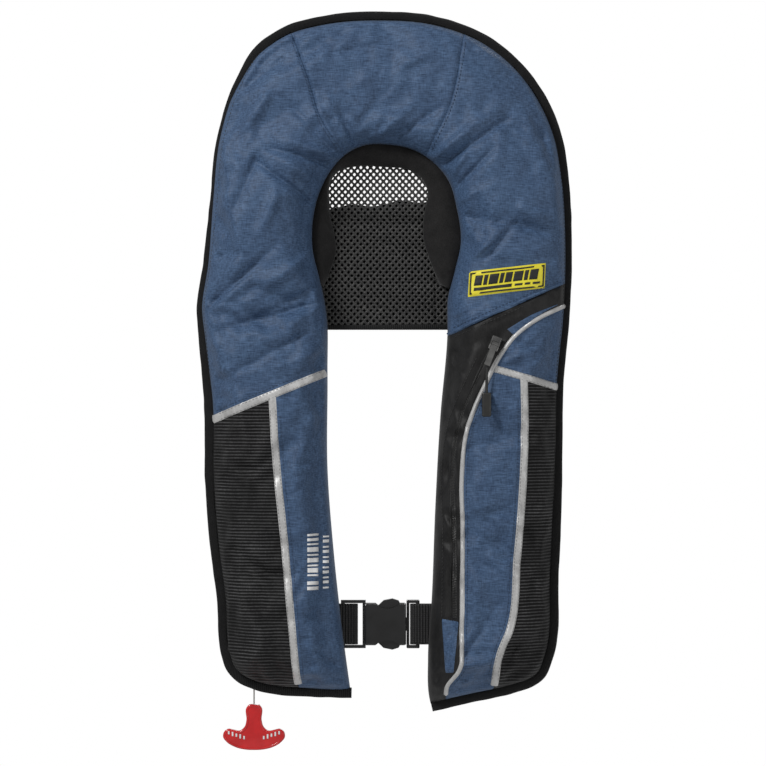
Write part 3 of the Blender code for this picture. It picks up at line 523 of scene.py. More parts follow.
LEFT_DIAGONAL = ((-158.0, -231.3), (-57.1, -187.6))
LEFT_UPRIGHT = ((-80.1, -474.0), (-86.0, -411.8), (-93.7, -326.8), (-99.0, -275.9), (-103.8, -207.8))
ZIP_YOKE = ((55.3, -154.7), (87.5, -140.2), (160.0, -107.5))
PIPING = (
    (53.0, -484.0), (54.5, -472.0), (64.8, -457.0), (67.0, -421.2), (67.7, -371.0), (68.0, -327.9),
    (67.0, -284.9), (72.3, -238.7), (87.5, -200.8), (102.6, -171.8), (115.2, -155.2),
    (132.9, -141.5), (156.0, -127.0))
RIGHT_DIAGONAL = ((95.5, -185.0), (154.0, -201.5))
RIGHT_UPRIGHT = (
    (96.4, -475.7), (102.1, -439.8), (110.7, -418.3), (117.2, -356.6), (122.9, -281.6),
    (124.1, -231.1), (122.9, -193.0))

# %% [markdown]
# A smooth curve goes through its points with slopes taken from each point's neighbours. A shifted
# curve runs beside another one, and a rung joins two points of a long curve by the stretch between.

# %% Curve helpers


def resampled(line, count):
    """Evenly spaced points along a line, by the length travelled."""
    reach = np.r_[0.0, np.cumsum(np.linalg.norm(np.diff(line, axis=0), axis=1))]
    along = np.linspace(0.0, reach[-1], count)
    return np.stack([np.interp(along, reach, line[:, k]) for k in range(line.shape[1])], 1)


def smooth(points, count):
    """Piecewise cubic: between knots the ends' places and slopes are blended by Hermite weights."""
    knots = np.array(points, float)
    reach = np.r_[0.0, np.cumsum(np.linalg.norm(np.diff(knots, axis=0), axis=1))]
    slope = np.gradient(knots, reach, axis=0)
    along = np.linspace(0.0, reach[-1], count)
    k = np.clip(np.searchsorted(reach, along, side="right") - 1, 0, len(knots) - 2)
    step = (reach[k + 1] - reach[k])[:, None]
    t = (along - reach[k])[:, None] / step
    near = (1 + 2 * t) * (1 - t) ** 2 * knots[k] + t * (1 - t) ** 2 * step * slope[k]
    far = t * t * (3 - 2 * t) * knots[k + 1] + t * t * (t - 1) * step * slope[k + 1]
    return near + far


def shifted(line, distance):
    """The line moved to the right of its travel: each point plus distance times its side vector."""
    run = np.gradient(line, axis=0)
    run /= np.linalg.norm(run, axis=1)[:, None]
    return line + distance * np.stack((run[:, 1], -run[:, 0]), 1)


def side_vectors(line):
    """Unit vectors to the right of a flat line's travel."""
    return shifted(line, 1.0) - line


def nearest(line, point):
    """The point of a line closest to a given one."""
    return line[np.argmin(np.linalg.norm(line - np.array(point), axis=1))]


def between(line, start, end, count=120):
    """The stretch of a line from one point to another, its ends drawn exactly onto them."""
    first = np.argmin(np.linalg.norm(line - start, axis=1))
    last = np.argmin(np.linalg.norm(line - end, axis=1))
    part = line[first:last + 1] if first <= last else line[last:first + 1][::-1]
    part = resampled(part, count)
    t = np.linspace(0.0, 1.0, count)[:, None]
    return part + (start - part[0]) * (1 - t) + (end - part[-1]) * t


def at(line, t):
    """Points of a line at fractions t of its own point list."""
    place = np.linspace(0.0, 1.0, len(line))
    return np.stack([np.interp(t, place, line[:, k]) for k in range(line.shape[1])], -1)


def travel(line):
    """The length of a line."""
    return np.linalg.norm(np.diff(line, axis=0), axis=1).sum()


def seam(points, start_on, end_on, count=120):
    """A seam's curve, with its ends drawn onto the edges that it meets."""
    points = np.array(points, float)
    points[0], points[-1] = nearest(start_on, points[0]), nearest(end_on, points[-1])
    return smooth(points, count)


outline, neckline = smooth(OUTLINE, 1200), smooth(NECKLINE, 1000)
# the stuffed lobes bulge over the bound edge, most of all beside the left shoulder: height, bulge
LEFT_BULGE = (
    (-213, 0.0), (-172, 1.6), (-127, 3.4), (-90, 3.2), (-26, 5.4), (60, 5.2), (100, 1.6), (118, 0.0))
RIGHT_BULGE = ((-330, 0.0), (-250, 1.8), (-130, 2.4), (-20, 1.8), (60, 0.0))
LEFT_SHARE = 0.45
on_left = np.arange(len(outline)) < len(outline) * LEFT_SHARE
bulge = np.where(on_left, *(np.interp(outline[:, 1], *zip(*rows)) for rows in (LEFT_BULGE, RIGHT_BULGE)))
panel_edge = outline + side_vectors(outline) * (PANEL_TUCK - bulge)[:, None]
left_shoulder = seam(LEFT_SHOULDER, neckline, panel_edge)
right_shoulder = seam(RIGHT_SHOULDER, neckline, panel_edge)
left_diagonal = seam(LEFT_DIAGONAL, panel_edge, neckline)
left_upright = seam(LEFT_UPRIGHT, panel_edge, left_diagonal)
zip_yoke = seam(ZIP_YOKE, neckline, panel_edge)
piping = seam(PIPING, panel_edge, panel_edge, 300)
right_diagonal = seam(RIGHT_DIAGONAL, piping, panel_edge)
right_upright = seam(RIGHT_UPRIGHT, panel_edge, right_diagonal)
print("binding runs", round(travel(outline)), "mm")

# %% [markdown]
# ## The pull cord
# A thin braided cord runs from the inflator's lever, out through an eyelet at the left foot, to the
# red handle. It hangs straight under the handle's weight. It is a curve with a round bevel.

# %% Pull cord
CORD_TOP, CORD_FOOT, CORD_RADIUS = -398.0, -491.0, 0.7
cord_points = np.linspace((CORD_X, 0.0, CORD_TOP), (CORD_X, 0.0, CORD_FOOT), 24) * MM
curve = bpy.data.curves.new("pull_line", "CURVE")
curve.dimensions = "3D"
curve.bevel_depth = CORD_RADIUS * MM
curve.bevel_resolution = 3
curve.use_fill_caps = True
spline = curve.splines.new("POLY")
spline.points.add(len(cord_points) - 1)
spline.points.foreach_set("co", np.c_[cord_points, np.ones(len(cord_points))].astype(np.float32).ravel())
curve.materials.append(looks["braid"])
pull_line = bpy.data.objects.new("pull_line", curve)
bpy.context.scene.collection.objects.link(pull_line)
stands_for(pull_line, "pull_cord", "cord")
print("pull cord", round(float(np.ptp(cord_points[:, 2])) * 1000), "mm long")

# %% [markdown]
# ## How far the cloth stands out
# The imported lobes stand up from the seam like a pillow: a quarter round rises from the outer edge
# and another from the neckline. Distances to both edges are worked out once on a fine lattice and
# then read between its points, which is much faster than measuring every vertex.

# %% Lattice of distances
STEP = 1.5
BATCH = 4000
LOW = np.array((-184.5, -510.0))
COUNTS = (248, 446)
lattice = np.stack(np.meshgrid(
    LOW[0] + STEP * np.arange(COUNTS[0]), LOW[1] + STEP * np.arange(COUNTS[1])), -1)


def distance_to(points, line, inside=0.0):
    """Least distance from a chain of straight pieces, in batches.

    With inside 1 the distance is negative on the left of the line's travel, with -1 on the right.
    """
    flat = points.reshape(-1, 2)
    start, run = line[:-1], np.diff(line, axis=0)
    out = np.empty(len(flat))
    for first in range(0, len(flat), BATCH):
        away = flat[first:first + BATCH, None] - start
        t = np.clip((away * run).sum(2) / (run * run).sum(1), 0.0, 1.0)
        gap = np.linalg.norm(away - t[..., None] * run, axis=2)
        near = gap.argmin(1)
        part = gap[np.arange(len(gap)), near]
        if inside:
            beside = away[np.arange(len(gap)), near]
            on_right = run[near, 1] * beside[:, 0] >= run[near, 0] * beside[:, 1]
            part *= np.where(on_right, inside, -inside)
        out[first:first + BATCH] = part
    return out.reshape(points.shape[:-1])


def read(values, points):
    """Bilinear reading of a lattice at points: the four corners weighted by the near sides."""
    place = (np.asarray(points) - LOW) / STEP
    x = np.clip(place[..., 0], 0, COUNTS[0] - 1.001)
    z = np.clip(place[..., 1], 0, COUNTS[1] - 1.001)
    i, j = x.astype(int), z.astype(int)
    u, v = x - i, z - j
    low = values[j, i] * (1 - u) + values[j, i + 1] * u
    high = values[j + 1, i] * (1 - u) + values[j + 1, i + 1] * u
    return low * (1 - v) + high * v


def blurred(values, times):
    """The lattice smoothed by repeated 1-2-1 averages along both axes."""
    for _ in range(times):
        values = (np.roll(values, 1, 0) + 2 * values + np.roll(values, -1, 0)) / 4
        values = (np.roll(values, 1, 1) + 2 * values + np.roll(values, -1, 1)) / 4
    return values


from_edge = distance_to(lattice, resampled(panel_edge, 420), 1.0)
from_neck = distance_to(lattice, resampled(neckline, 360), -1.0)
print("lattice", lattice.shape[:2])


def rise(distance, width):
    """Quarter round: the square root of 1 minus the square of what is left to the width."""
    t = np.clip(distance / width, 0.0, 1.0)
    return np.sqrt(1.0 - (1.0 - t) ** 2)


def packed_height(points):
    """Height of the stuffed front over the seam plane, before any crease: thinner behind the neck."""
    t = np.clip((points[..., 1] - NECK_STARTS) / NECK_EASE, 0.0, 1.0)
    full = LOBE_HEIGHT + (NECK_HEIGHT - LOBE_HEIGHT) * t * t * (3 - 2 * t)
    outer, inner = rise(read(from_edge, points), OUTER_ROUND), rise(read(from_neck, points), INNER_ROUND)
    return 1.0 + full * outer * inner


# %% [markdown]
# ## Creases
# The cover is cut a little larger than the bladder, so it puckers along its seams. A cloth
# simulation on one horseshoe-shaped sheet gives the small random puckers: its edges are pinned,
# it grows by a few per cent, and a light pressure holds it out. Larger folds, which come from how
# this jacket was packed, are laid in as soft ridges and valleys.

# %% Horseshoe sheet for the simulation
LADDER = (
    ((-36.0, -476.0), (-33.5, -476.0)), ((-157.0, -225.0), (-54.3, -225.0)),
    ((-160.0, -88.0), (-67.5, -74.5)), ((-78.0, 124.0), (-39.0, 9.0)), ((-5.0, 133.0), (0.0, 19.6)),
    ((70.0, 120.0), (37.0, 8.0)), ((160.0, -64.0), (67.0, -70.0)), ((151.5, -225.0), (49.0, -225.0)),
    ((50.0, -487.0), (40.0, -487.0)))


CLOTH = {
    "quality": 6, "mass": 0.15, "air_damping": 4.0, "tension_stiffness": 18.0, "compression_stiffness": 18.0,
    "shear_stiffness": 8.0, "bending_stiffness": 0.06, "shrink_min": -0.055, "use_pressure": True,
    "uniform_pressure_force": 1.2, "vertex_group_mass": "pinned"}


def sides_of_sheet(steps):
    """Matching points on the panel edge and the neckline, even between each pair of marks."""
    edge_marks = [nearest(panel_edge, a) for a, _ in LADDER]
    neck_marks = [nearest(neckline, b) for _, b in LADDER]
    runs = []
    for k in range(len(LADDER) - 1):
        length = np.linalg.norm(edge_marks[k + 1] - edge_marks[k])
        count = max(3, int(length / steps))
        pair = [between(line, marks[k], marks[k + 1], count)
                for line, marks in ((panel_edge, edge_marks), (neckline, neck_marks))]
        runs.append(np.stack(pair, 1)[1 if k else 0:])
    return np.concatenate(runs)


def swollen(points, frames):
    """The sheet's points after the simulation: pinned edges, a small growth and a light pressure."""
    rows, columns = points.shape[:2]
    sheet = mesh_piece("cover_sheet", points, grid_faces(rows, columns), "blue_nylon")
    edge = np.zeros((rows, columns), bool)
    edge[:, [0, -1]] = True
    edge[[0, -1]] = True
    group = sheet.vertex_groups.new(name="pinned")
    group.add(np.flatnonzero(edge.ravel()).tolist(), 1.0, "REPLACE")
    cloth = sheet.modifiers.new("cloth", "CLOTH")
    for setting, value in CLOTH.items():
        setattr(cloth.settings, setting, value)
    cloth.settings.effector_weights.gravity = 0.0
    cloth.collision_settings.use_collision = False
    cloth.point_cache.frame_start = 1
    cloth.point_cache.frame_end = frames
    scene = bpy.context.scene
    for number in range(1, frames + 1):
        scene.frame_set(number)
    worked = sheet.evaluated_get(bpy.context.evaluated_depsgraph_get()).to_mesh()
    moved = np.empty(rows * columns * 3, np.float32)
    worked.vertices.foreach_get("co", moved)
    bpy.data.objects.remove(sheet, do_unlink=True)
    scene.frame_set(1)
    return moved.reshape(rows, columns, 3) / MM


def finer(grid, times):
    """A grid with points added between its own, by straight lines first along, then across."""
    for axis in (0, 1):
        count = grid.shape[axis]
        place = np.linspace(0, count - 1, (count - 1) * times + 1)
        k = np.minimum(place.astype(int), count - 2)
        part = (place - k).reshape([-1 if a == axis else 1 for a in range(3)])
        grid = np.take(grid, k, axis) * (1 - part) + np.take(grid, k + 1, axis) * part
    return grid


def puckers(frames=22):
    """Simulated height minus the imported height, spread onto the lattice, without its broad part."""
    sides = sides_of_sheet(4.2)
    across = np.linspace(0.0, 1.0, 34)[None, :, None]
    flat = sides[:, :1] * (1 - across) + sides[:, 1:] * across
    moved = finer(swollen(upright(flat, -packed_height(flat)), frames), 4)
    spot = moved[..., [0, 2]]
    extra = np.clip(-moved[..., 1] - packed_height(spot), -9.0, 9.0)
    place = np.rint((spot - LOW) / STEP).astype(int).reshape(-1, 2)
    total, weight = np.zeros(lattice.shape[:2]), np.zeros(lattice.shape[:2])
    np.add.at(total, (place[:, 1], place[:, 0]), extra.ravel())
    np.add.at(weight, (place[:, 1], place[:, 0]), 1.0)
    total, weight = blurred(total, 2), blurred(weight, 2)
    near = total / np.maximum(weight, 1e-3)
    broad = blurred(total, 60) / np.maximum(blurred(weight, 60), 1e-3)
    return (near - 0.75 * broad) * (weight > 1e-3)


# %% [markdown]
# A fold is a ridge along a short line: its height falls off as a bell across the line and fades
# towards both ends. A valley is a fold of negative height. Each row gives start, end, width, height.

# %% Folds laid in
FOLDS = (
    # left lobe, from the neck outwards and down
    (-45, 6, -100, 24, 5.0, 4.2), (-50, 0, -106, 14, 4.5, -5.4), (-60, -18, -118, 16, 7.0, 3.8),
    (-68, -34, -120, 4, 5.0, -5.4), (-42, 14, -72, 62, 4.5, 2.6), (-50, 14, -84, 50, 4.0, -2.2),
    (-158, -126, -100, -74, 7.0, -4.6), (-72, -84, -150, -142, 9.0, 3.4),
    (-74, -128, -152, -150, 9.0, -3.4), (-60, -108, -120, -140, 6.5, -2.8),
    (-62, -128, -140, -178, 9.0, 3.2), (-72, -152, -150, -196, 7.0, -2.8), (-110, 60, -140, 10, 9.0, 2.6),
    (-96, 96, -128, 70, 6.0, -2.2), (-120, 0, -146, -60, 8.0, -2.6), (-100, -30, -124, -86, 8.0, 2.6),
    (-64, -170, -92, -182, 5.0, 2.0), (-150, -30, -160, -100, 5.0, 1.8),
    # behind the neck
    (-8, 24, 34, 64, 7.0, 4.2), (6, 22, 48, 52, 6.0, -3.8), (-14, 22, -6, 46, 4.0, 2.6),
    (-2, 20, 6, 38, 3.0, -2.4),
    (-28, 18, -44, 52, 5.0, -2.6), (-34, 16, -60, 76, 5.0, 2.0), (12, 20, 20, 36, 3.0, 2.2),
    (-50, 100, 20, 116, 9.0, -2.2), (20, 92, 54, 112, 8.0, 2.2), (-30, 70, 10, 92, 12.0, 1.6),
    # right lobe
    (40, 4, 112, 62, 6.5, 4.6), (44, -4, 110, 42, 5.0, -5.6), (56, -14, 84, 30, 4.0, 3.0),
    (60, -24, 96, 14, 4.0, -4.4), (62, -34, 100, -16, 5.0, 3.2), (66, -46, 132, -58, 6.5, -2.8),
    (66, -60, 108, -84, 6.0, 3.2), (78, -100, 116, -52, 6.5, -4.0), (116, -52, 158, -66, 5.5, -3.6),
    (74, -88, 118, -44, 7.0, 3.2), (120, -42, 160, -52, 7.0, 2.8), (108, 96, 138, 64, 6.0, -2.6),
    (84, 106, 112, 84, 6.0, 2.2), (126, 40, 152, -10, 8.0, 2.4), (140, 30, 160, -30, 5.0, -2.2),
    (60, -100, 74, -136, 5.0, 2.0), (62, -140, 84, -128, 4.0, -1.6), (104, 30, 96, -20, 9.0, 2.0),
    # left lobe below its tape
    (-62, -250, -92, -262, 6.0, 1.8), (-64, -286, -90, -300, 6.0, -1.6), (-58, -330, -88, -322, 7.0, 1.5),
    (-56, -400, -84, -410, 7.0, -1.4), (-42, -452, -76, -446, 6.0, -2.2), (-40, -462, -78, -458, 5.0, 1.8),
    (-110, -250, -150, -262, 9.0, 1.6), (-98, -470, -140, -440, 8.0, 2.0),
    (-136, -300, -140, -430, 6.0, -2.0),
    # right lobe below its tapes
    (108, -178, 150, -160, 6.0, 2.2), (120, -160, 150, -176, 5.0, -2.0), (134, -182, 154, -160, 5.0, 1.8),
    (86, -214, 108, -250, 5.0, -3.4), (92, -206, 116, -236, 5.0, 2.8), (78, -300, 112, -326, 9.0, 1.8),
    (74, -330, 110, -348, 8.0, -1.8), (72, -372, 106, -420, 8.0, 2.2), (72, -440, 98, -400, 6.0, -2.4),
    (70, -470, 96, -444, 5.0, 2.4), (126, -390, 140, -430, 7.0, -2.4), (118, -440, 146, -404, 6.0, 2.6),
    (110, -462, 142, -446, 6.0, -2.2), (132, -230, 150, -300, 7.0, 1.8),
    (128, -330, 146, -372, 7.0, -1.8),
    # black zip panel
    (60, -172, 86, -160, 4.5, -2.0), (58, -184, 78, -200, 5.0, 1.8), (56, -208, 66, -232, 5.0, -1.6),
    (96, -136, 140, -118, 5.0, 1.8), (90, -146, 132, -128, 4.0, -1.8))


def folds_over(points):
    """Sum over folds of height, a profile of the distance and a fade along the fold.

    A ridge has a soft bell for its profile, and a valley a sharp bottom: e to the minus distance.
    """
    total = np.zeros(points.shape[:-1])
    for x0, z0, x1, z1, width, height in FOLDS:
        start, run = np.array((x0, z0), float), np.array((x1 - x0, z1 - z0), float)
        away = points - start
        t = away @ run / (run @ run)
        nearest_t = np.clip(t, 0.0, 1.0)
        off = away - nearest_t[..., None] * run
        reach = 0.5 * width * (0.7 + 0.6 * nearest_t)
        far = np.linalg.norm(off, axis=-1)
        bell = np.exp(-far ** 2 / (2 * reach ** 2)) if height > 0 else 1.25 * np.exp(-far / reach)
        fade = 0.55 + 0.45 * np.cos(math.pi * np.clip(t, 0, 1)) if height > 0 else 1.0 - 0.55 * nearest_t
        total += height * bell * fade
    return total


def level_noise(seed, cells):
    """Soft random bumps: random values at a coarse lattice, read between by cosine weights."""
    values = np.random.default_rng(seed).uniform(-1, 1, (COUNTS[1] // cells + 3, COUNTS[0] // cells + 3))
    z, x = np.arange(COUNTS[1]) / cells, np.arange(COUNTS[0]) / cells
    j, i = z.astype(int)[:, None], x.astype(int)[None, :]
    v = (1 - np.cos(math.pi * (z - z.astype(int))))[:, None] / 2
    u = (1 - np.cos(math.pi * (x - x.astype(int))))[None, :] / 2
    return ((values[j, i] * (1 - u) + values[j, i + 1] * u) * (1 - v)
            + (values[j + 1, i] * (1 - u) + values[j + 1, i + 1] * u) * v)


FOLD_GAIN, PUCKER_GAIN = 1.75, 1.5
creases = FOLD_GAIN * folds_over(lattice) + 1.2 * level_noise(7, 11) + 0.6 * level_noise(8, 5)
sim = puckers()
print("puckers from", round(float(sim.min()), 1), "to", round(float(sim.max()), 1), "mm")
creases += PUCKER_GAIN * sim

# %% [markdown]
# Beside the piping runs the zip. Its coil lies in a shallow trough, and the black flap next to it
# stands up in a soft ridge, so both are added as bells of the distance from two lines beside the
# piping.

# %% Zip trough and flap ridge
zip_line = between(shifted(piping, -6.6), (61.0, -410.0), (100.0, -158.0), 200)
flap_line = between(shifted(piping, -13.5), (54.0, -410.0), (92.0, -150.0), 200)
to_zip, to_flap = distance_to(lattice, zip_line), distance_to(lattice, flap_line)
creases += 1.5 * np.exp(-(to_flap / 2.6) ** 2) - 1.3 * np.exp(-(to_zip / 3.0) ** 2)
creases = blurred(creases, 1) * np.clip(np.minimum(from_edge, from_neck) / 9.0, 0.0, 1.0)
# the label is stiff and holds the cloth under it flat
LABEL_MIDDLE, LABEL_HALF = (108.0, -105.0), (36.0, 16.0)
off_label = (np.abs(lattice - LABEL_MIDDLE) - LABEL_HALF).max(-1)
creases *= 1.0 - 0.85 * np.clip(1.0 - np.maximum(off_label, 0.0) / 9.0, 0.0, 1.0)

# the slider runs just in front of the cloth, so nothing near the zip may rise into its way
SLIDER_ROOM, SLIDER_REACH = 3.2, 13.0
creases = np.minimum(creases, SLIDER_ROOM + 0.6 * np.maximum(to_zip - SLIDER_REACH, 0.0))

# the cloth lies over the fittings packed inside it, so it can't sink below their fronts
COVER_REACH, COVER_SLOPE = 12.0, 0.9
for inner in ("oral_tube", "oral_cap", "whistle", "co2_cylinder", "inflator_body", "auto_cap"):
    low, high = (np.array(corner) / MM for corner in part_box(inner))
    past = np.maximum(np.maximum(low[[0, 2]] - lattice, lattice - high[[0, 2]]), 0.0)
    away = np.linalg.norm(past, axis=-1)
    floor_height = 1.0 - low[1] - away * COVER_SLOPE - packed_height(lattice)
    creases = np.where(away < COVER_REACH, np.maximum(creases, floor_height), creases)


def front_height(points):
    """Packed height plus creases."""
    return packed_height(points) + read(creases, points)


def over_front(points, lift):
    """Points standing off the front by a lift, along the surface's own normal."""
    step = 0.8
    ways = ((step, 0.0), (0.0, step))
    right, up = (front_height(points + way) - front_height(points - way) for way in ways)
    normal = np.stack((-right / (2 * step), -np.ones(right.shape), -up / (2 * step)), -1)
    normal /= np.linalg.norm(normal, axis=-1)[..., None]
    return upright(points, -front_height(points)) + np.asarray(lift)[..., None] * normal


# %% [markdown]
# ## Sewn panels
# A panel has four seams. Its surface is a Coons patch: the sum of the sheet ruled between left and
# right and the one ruled between bottom and top, minus the flat patch through the corners. It is
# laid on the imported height, and its edges roll in by a millimetre or two where the seam pulls.

# %% Panel maker
left_foot, right_foot = nearest(neckline, (-33.0, -478.5)), nearest(neckline, (39.8, -491.0))
left_corner, right_corner = nearest(panel_edge, (-139.0, -460.0)), nearest(panel_edge, (140.0, -466.0))
piping_turn = nearest(piping, (103.5, -170.5))


def spread(left, right, bottom, top, spacing):
    """Coons patch over a grid of about the given spacing, and each point's distance to its seams."""
    length, width = max(travel(left), travel(right)), max(travel(bottom), travel(top))
    rows, columns = int(length / spacing) + 2, int(width / spacing) + 2
    ease = np.linspace(0.0, 1.0, columns)
    s = (ease + 0.45 * (0.5 - 0.5 * np.cos(math.pi * ease) - ease))[None, :, None]
    t = np.linspace(0.0, 1.0, rows)[:, None, None]
    ruled = (1 - s) * at(left, t[:, 0, 0])[:, None] + s * at(right, t[:, 0, 0])[:, None]
    risen = (1 - t) * at(bottom, s[0, :, 0])[None] + t * at(top, s[0, :, 0])[None]
    low, high = (1 - s) * bottom[0] + s * bottom[-1], (1 - s) * top[0] + s * top[-1]
    flat = ruled + risen - (1 - t) * low - t * high
    wide = np.linalg.norm(at(right, t[:, 0, 0]) - at(left, t[:, 0, 0]), axis=1)[:, None]
    tall = np.linalg.norm(at(top, s[0, :, 0]) - at(bottom, s[0, :, 0]), axis=1)[None]
    s, t = s[..., 0], t[..., 0]
    return flat, np.minimum(np.minimum(s, 1 - s) * wide, np.minimum(t, 1 - t) * tall)


def sewn_panel(name, sides, look, node, slot, behind=False, spacing=1.7):
    """A panel on the front or the back of the lobes."""
    flat, to_seam = spread(*sides, spacing)
    roll = 1.7 * np.exp(-(to_seam / 1.9) ** 2)
    if behind:
        nearby = np.minimum(read(from_edge, flat), read(from_neck, flat))
        height = 0.8 + 3.7 * rise(nearby, 20.0) + 0.35 * read(creases, flat).clip(-1.5, 1.2) - 0.4 * roll
        points = upright(flat, height.clip(0.8, 6.0))[:, ::-1]
    else:
        height = np.maximum(front_height(flat) - roll, 0.8)
        points = upright(flat, -height)
    piece = grid_piece(name, points, look, wall=0.5)
    stands_for(piece, node, "jacket")


def on_edge(start, end, count=120):
    """The stretch of the panels' outer edge between two points."""
    return between(panel_edge, start, end, count)


def on_neck(start, end, count=120):
    """The stretch of the neckline between two points."""
    return between(neckline, start, end, count)


# %% Front panels
inside_zip = np.vstack((on_neck(right_foot, zip_yoke[0], 351), resampled(zip_yoke, 151)[1:]))
neck_sides = (left_shoulder, right_shoulder, on_neck(left_shoulder[0], right_shoulder[0]),
              on_edge(left_shoulder[-1], right_shoulder[-1]))
sewn_panel("neck_panel", neck_sides, "blue_nylon", "cover_neck", "blue_nylon")
sewn_panel("left_chest_panel", (
    on_edge(left_diagonal[0], left_shoulder[-1], 300), on_neck(left_diagonal[-1], left_shoulder[0], 300),
    left_diagonal, left_shoulder[::-1]), "blue_nylon", "cover_left_chest", "blue_nylon")
sewn_panel("left_side_panel", (
    on_edge(left_corner, left_diagonal[0], 200), left_upright, on_edge(left_corner, left_upright[0]),
    between(left_diagonal, left_diagonal[0], left_upright[-1])),
    "ribbed_cloth", "cover_left_side", "black_nylon")
sewn_panel("left_front_panel", (
    left_upright, on_neck(left_foot, left_diagonal[-1], 200), on_edge(left_upright[0], left_foot),
    between(left_diagonal, left_upright[-1], left_diagonal[-1])),
    "blue_nylon", "cover_left_front", "blue_nylon")
sewn_panel("right_chest_panel", (
    on_neck(zip_yoke[0], right_shoulder[0], 300), on_edge(zip_yoke[-1], right_shoulder[-1], 300),
    zip_yoke, right_shoulder), "blue_nylon", "cover_right_chest", "blue_nylon")
sewn_panel("zip_panel", (
    inside_zip, piping, on_edge(right_foot, piping[0]), on_edge(zip_yoke[-1], piping[-1])),
    "flap_cloth", "cover_zip_panel", "black_nylon", spacing=1.3)
sewn_panel("right_wedge_panel", (
    between(piping, right_diagonal[0], piping_turn), on_edge(right_diagonal[-1], piping[-1]),
    right_diagonal, between(piping, piping_turn, piping[-1])),
    "blue_nylon", "cover_right_wedge", "blue_nylon")
sewn_panel("right_front_panel", (
    between(piping, piping[0], right_diagonal[0], 200), right_upright, on_edge(piping[0], right_upright[0]),
    between(right_diagonal, right_diagonal[0], right_upright[-1])),
    "blue_nylon", "cover_right_front", "blue_nylon")
sewn_panel("right_side_panel", (
    right_upright, on_edge(right_corner, right_diagonal[-1], 200), on_edge(right_upright[0], right_corner),
    between(right_diagonal, right_upright[-1], right_diagonal[-1])),
    "ribbed_cloth", "cover_right_side", "black_nylon")

# %% Back panels
BACK = ("black_nylon", True, 3.0)
sewn_panel("neck_back_panel", neck_sides, "black_nylon", "back_neck", *BACK)
sewn_panel("left_back_panel", (
    on_edge(left_corner, left_shoulder[-1], 300), on_neck(left_foot, left_shoulder[0], 300),
    on_edge(left_corner, left_foot), left_shoulder[::-1]), "black_nylon", "back_left", *BACK)
sewn_panel("right_back_panel", (
    on_neck(right_foot, right_shoulder[0], 300), on_edge(right_corner, right_shoulder[-1], 300),
    on_edge(right_foot, right_corner), right_shoulder), "black_nylon", "back_right", *BACK)

# %% [markdown]
# ## Bound edge
# A folded tape closes the outer edge of front and back together. Its section is a flat pill, swept
# along a line that runs half the tape's width inside the outline, with small changes of width and
# height so that it looks sewn rather than ruled.

# %% Bound edge


def wander(count, seed, knots):
    """A smooth random track from -1 to 1: random knots joined by cosine steps."""
    values = np.random.default_rng(seed).uniform(-1, 1, knots + 2)
    place = np.linspace(0, knots, count)
    k = place.astype(int)
    t = (1 - np.cos(math.pi * (place - k))) / 2
    return values[k] * (1 - t) + values[k + 1] * t


def squared(wave, power):
    """A sine or cosine with its size raised to a power, which makes a round section squarer."""
    return np.sign(wave) * np.abs(wave) ** power


def swept(line, wide, high):
    """Rings along a flat line: each section's points stand across by wide and deep by high."""
    return upright(line[:, None] + side_vectors(line)[:, None] * wide[..., None], high)


BINDING_ROWS, BINDING_HALF_DEPTH = 900, 2.9
around = ring_turns(22)
line = resampled(shifted(outline, BINDING / 2), BINDING_ROWS)
wide = (BINDING / 2 + 0.22 * wander(BINDING_ROWS, 1, 160))[:, None] * np.cos(around)
high = (BINDING_HALF_DEPTH + 0.35 * wander(BINDING_ROWS, 2, 200))[:, None] * squared(np.sin(around), 0.55)
high = high + 0.5 * wander(BINDING_ROWS, 3, 90)[:, None]
binding = capped_tube("bound_edge", swept(line, wide, high), "binding_tape")
stands_for(binding, "edge_binding", "jacket")
print("bound edge", len(line), "sections")

# %% [markdown]
# ## Collar
# The collar is a padded band of soft fleece. It starts under the neckline, swells towards the
# wearer's front and rolls back to a fold, where the mesh yoke is sewn on. Each section is a pill
# between a point of the neckline and a point of the fold.

# %% Collar
COLLAR_ENDS = nearest(neckline, (-60.0, -106.0)), nearest(neckline, (57.5, -112.0))
rows = 260
outer = resampled(shifted(between(neckline, *COLLAR_ENDS, 300), -2.4), rows)
inner = resampled(smooth(COLLAR_FOLD, 300), rows)
around = ring_turns(36)
share = ((1 + np.cos(around)) / 2)[None, :]
swell = squared(np.sin(around), 0.6)
dents = wander(rows, 5, 26)[:, None] * np.sin(math.pi * share) + 0.7 * wander(rows, 6, 60)[:, None] * share
middle = -1.2 + 6.4 * share ** 2 - 3.4 * np.sin(math.pi * share ** 0.8) + 0.55 * dents
across = outer[:, None] * (1 - share[..., None]) + inner[:, None] * share[..., None]
depth = middle + (2.3 + 0.5 * np.sin(math.pi * share)) * swell[None]
collar = capped_tube("padded_collar", upright(across, depth), "collar_fleece")
stands_for(collar, "neck_collar", "jacket")

# %% [markdown]
# ## Mesh yoke
# The yoke is a warp-knitted net. It is built as real cells: six-sided cells in staggered rows, each
# with a smaller six-sided hole, so light passes where there is nothing behind it. Below a line
# across the neck the net lies on a plain backing that the belt channel is sewn to.

# %% Net
CELL, ROW = 5.9, 3.2
NET_LOW, NET_HIGH, GRAINS = -146.5, 10.0, 50
YOKE_DEPTH = 8.1


def six_sided(half_width, side_half, half_height):
    """A six-sided cell with upright sides and a point above and below."""
    right = ((half_width, -side_half), (half_width, side_half), (0, half_height))
    return np.array(right + tuple((-x, -z) for x, z in right))


CELL_EDGE, CELL_HOLE = six_sided(2.95, 0.24, 2.96), six_sided(1.2, 0.6, 1.55)


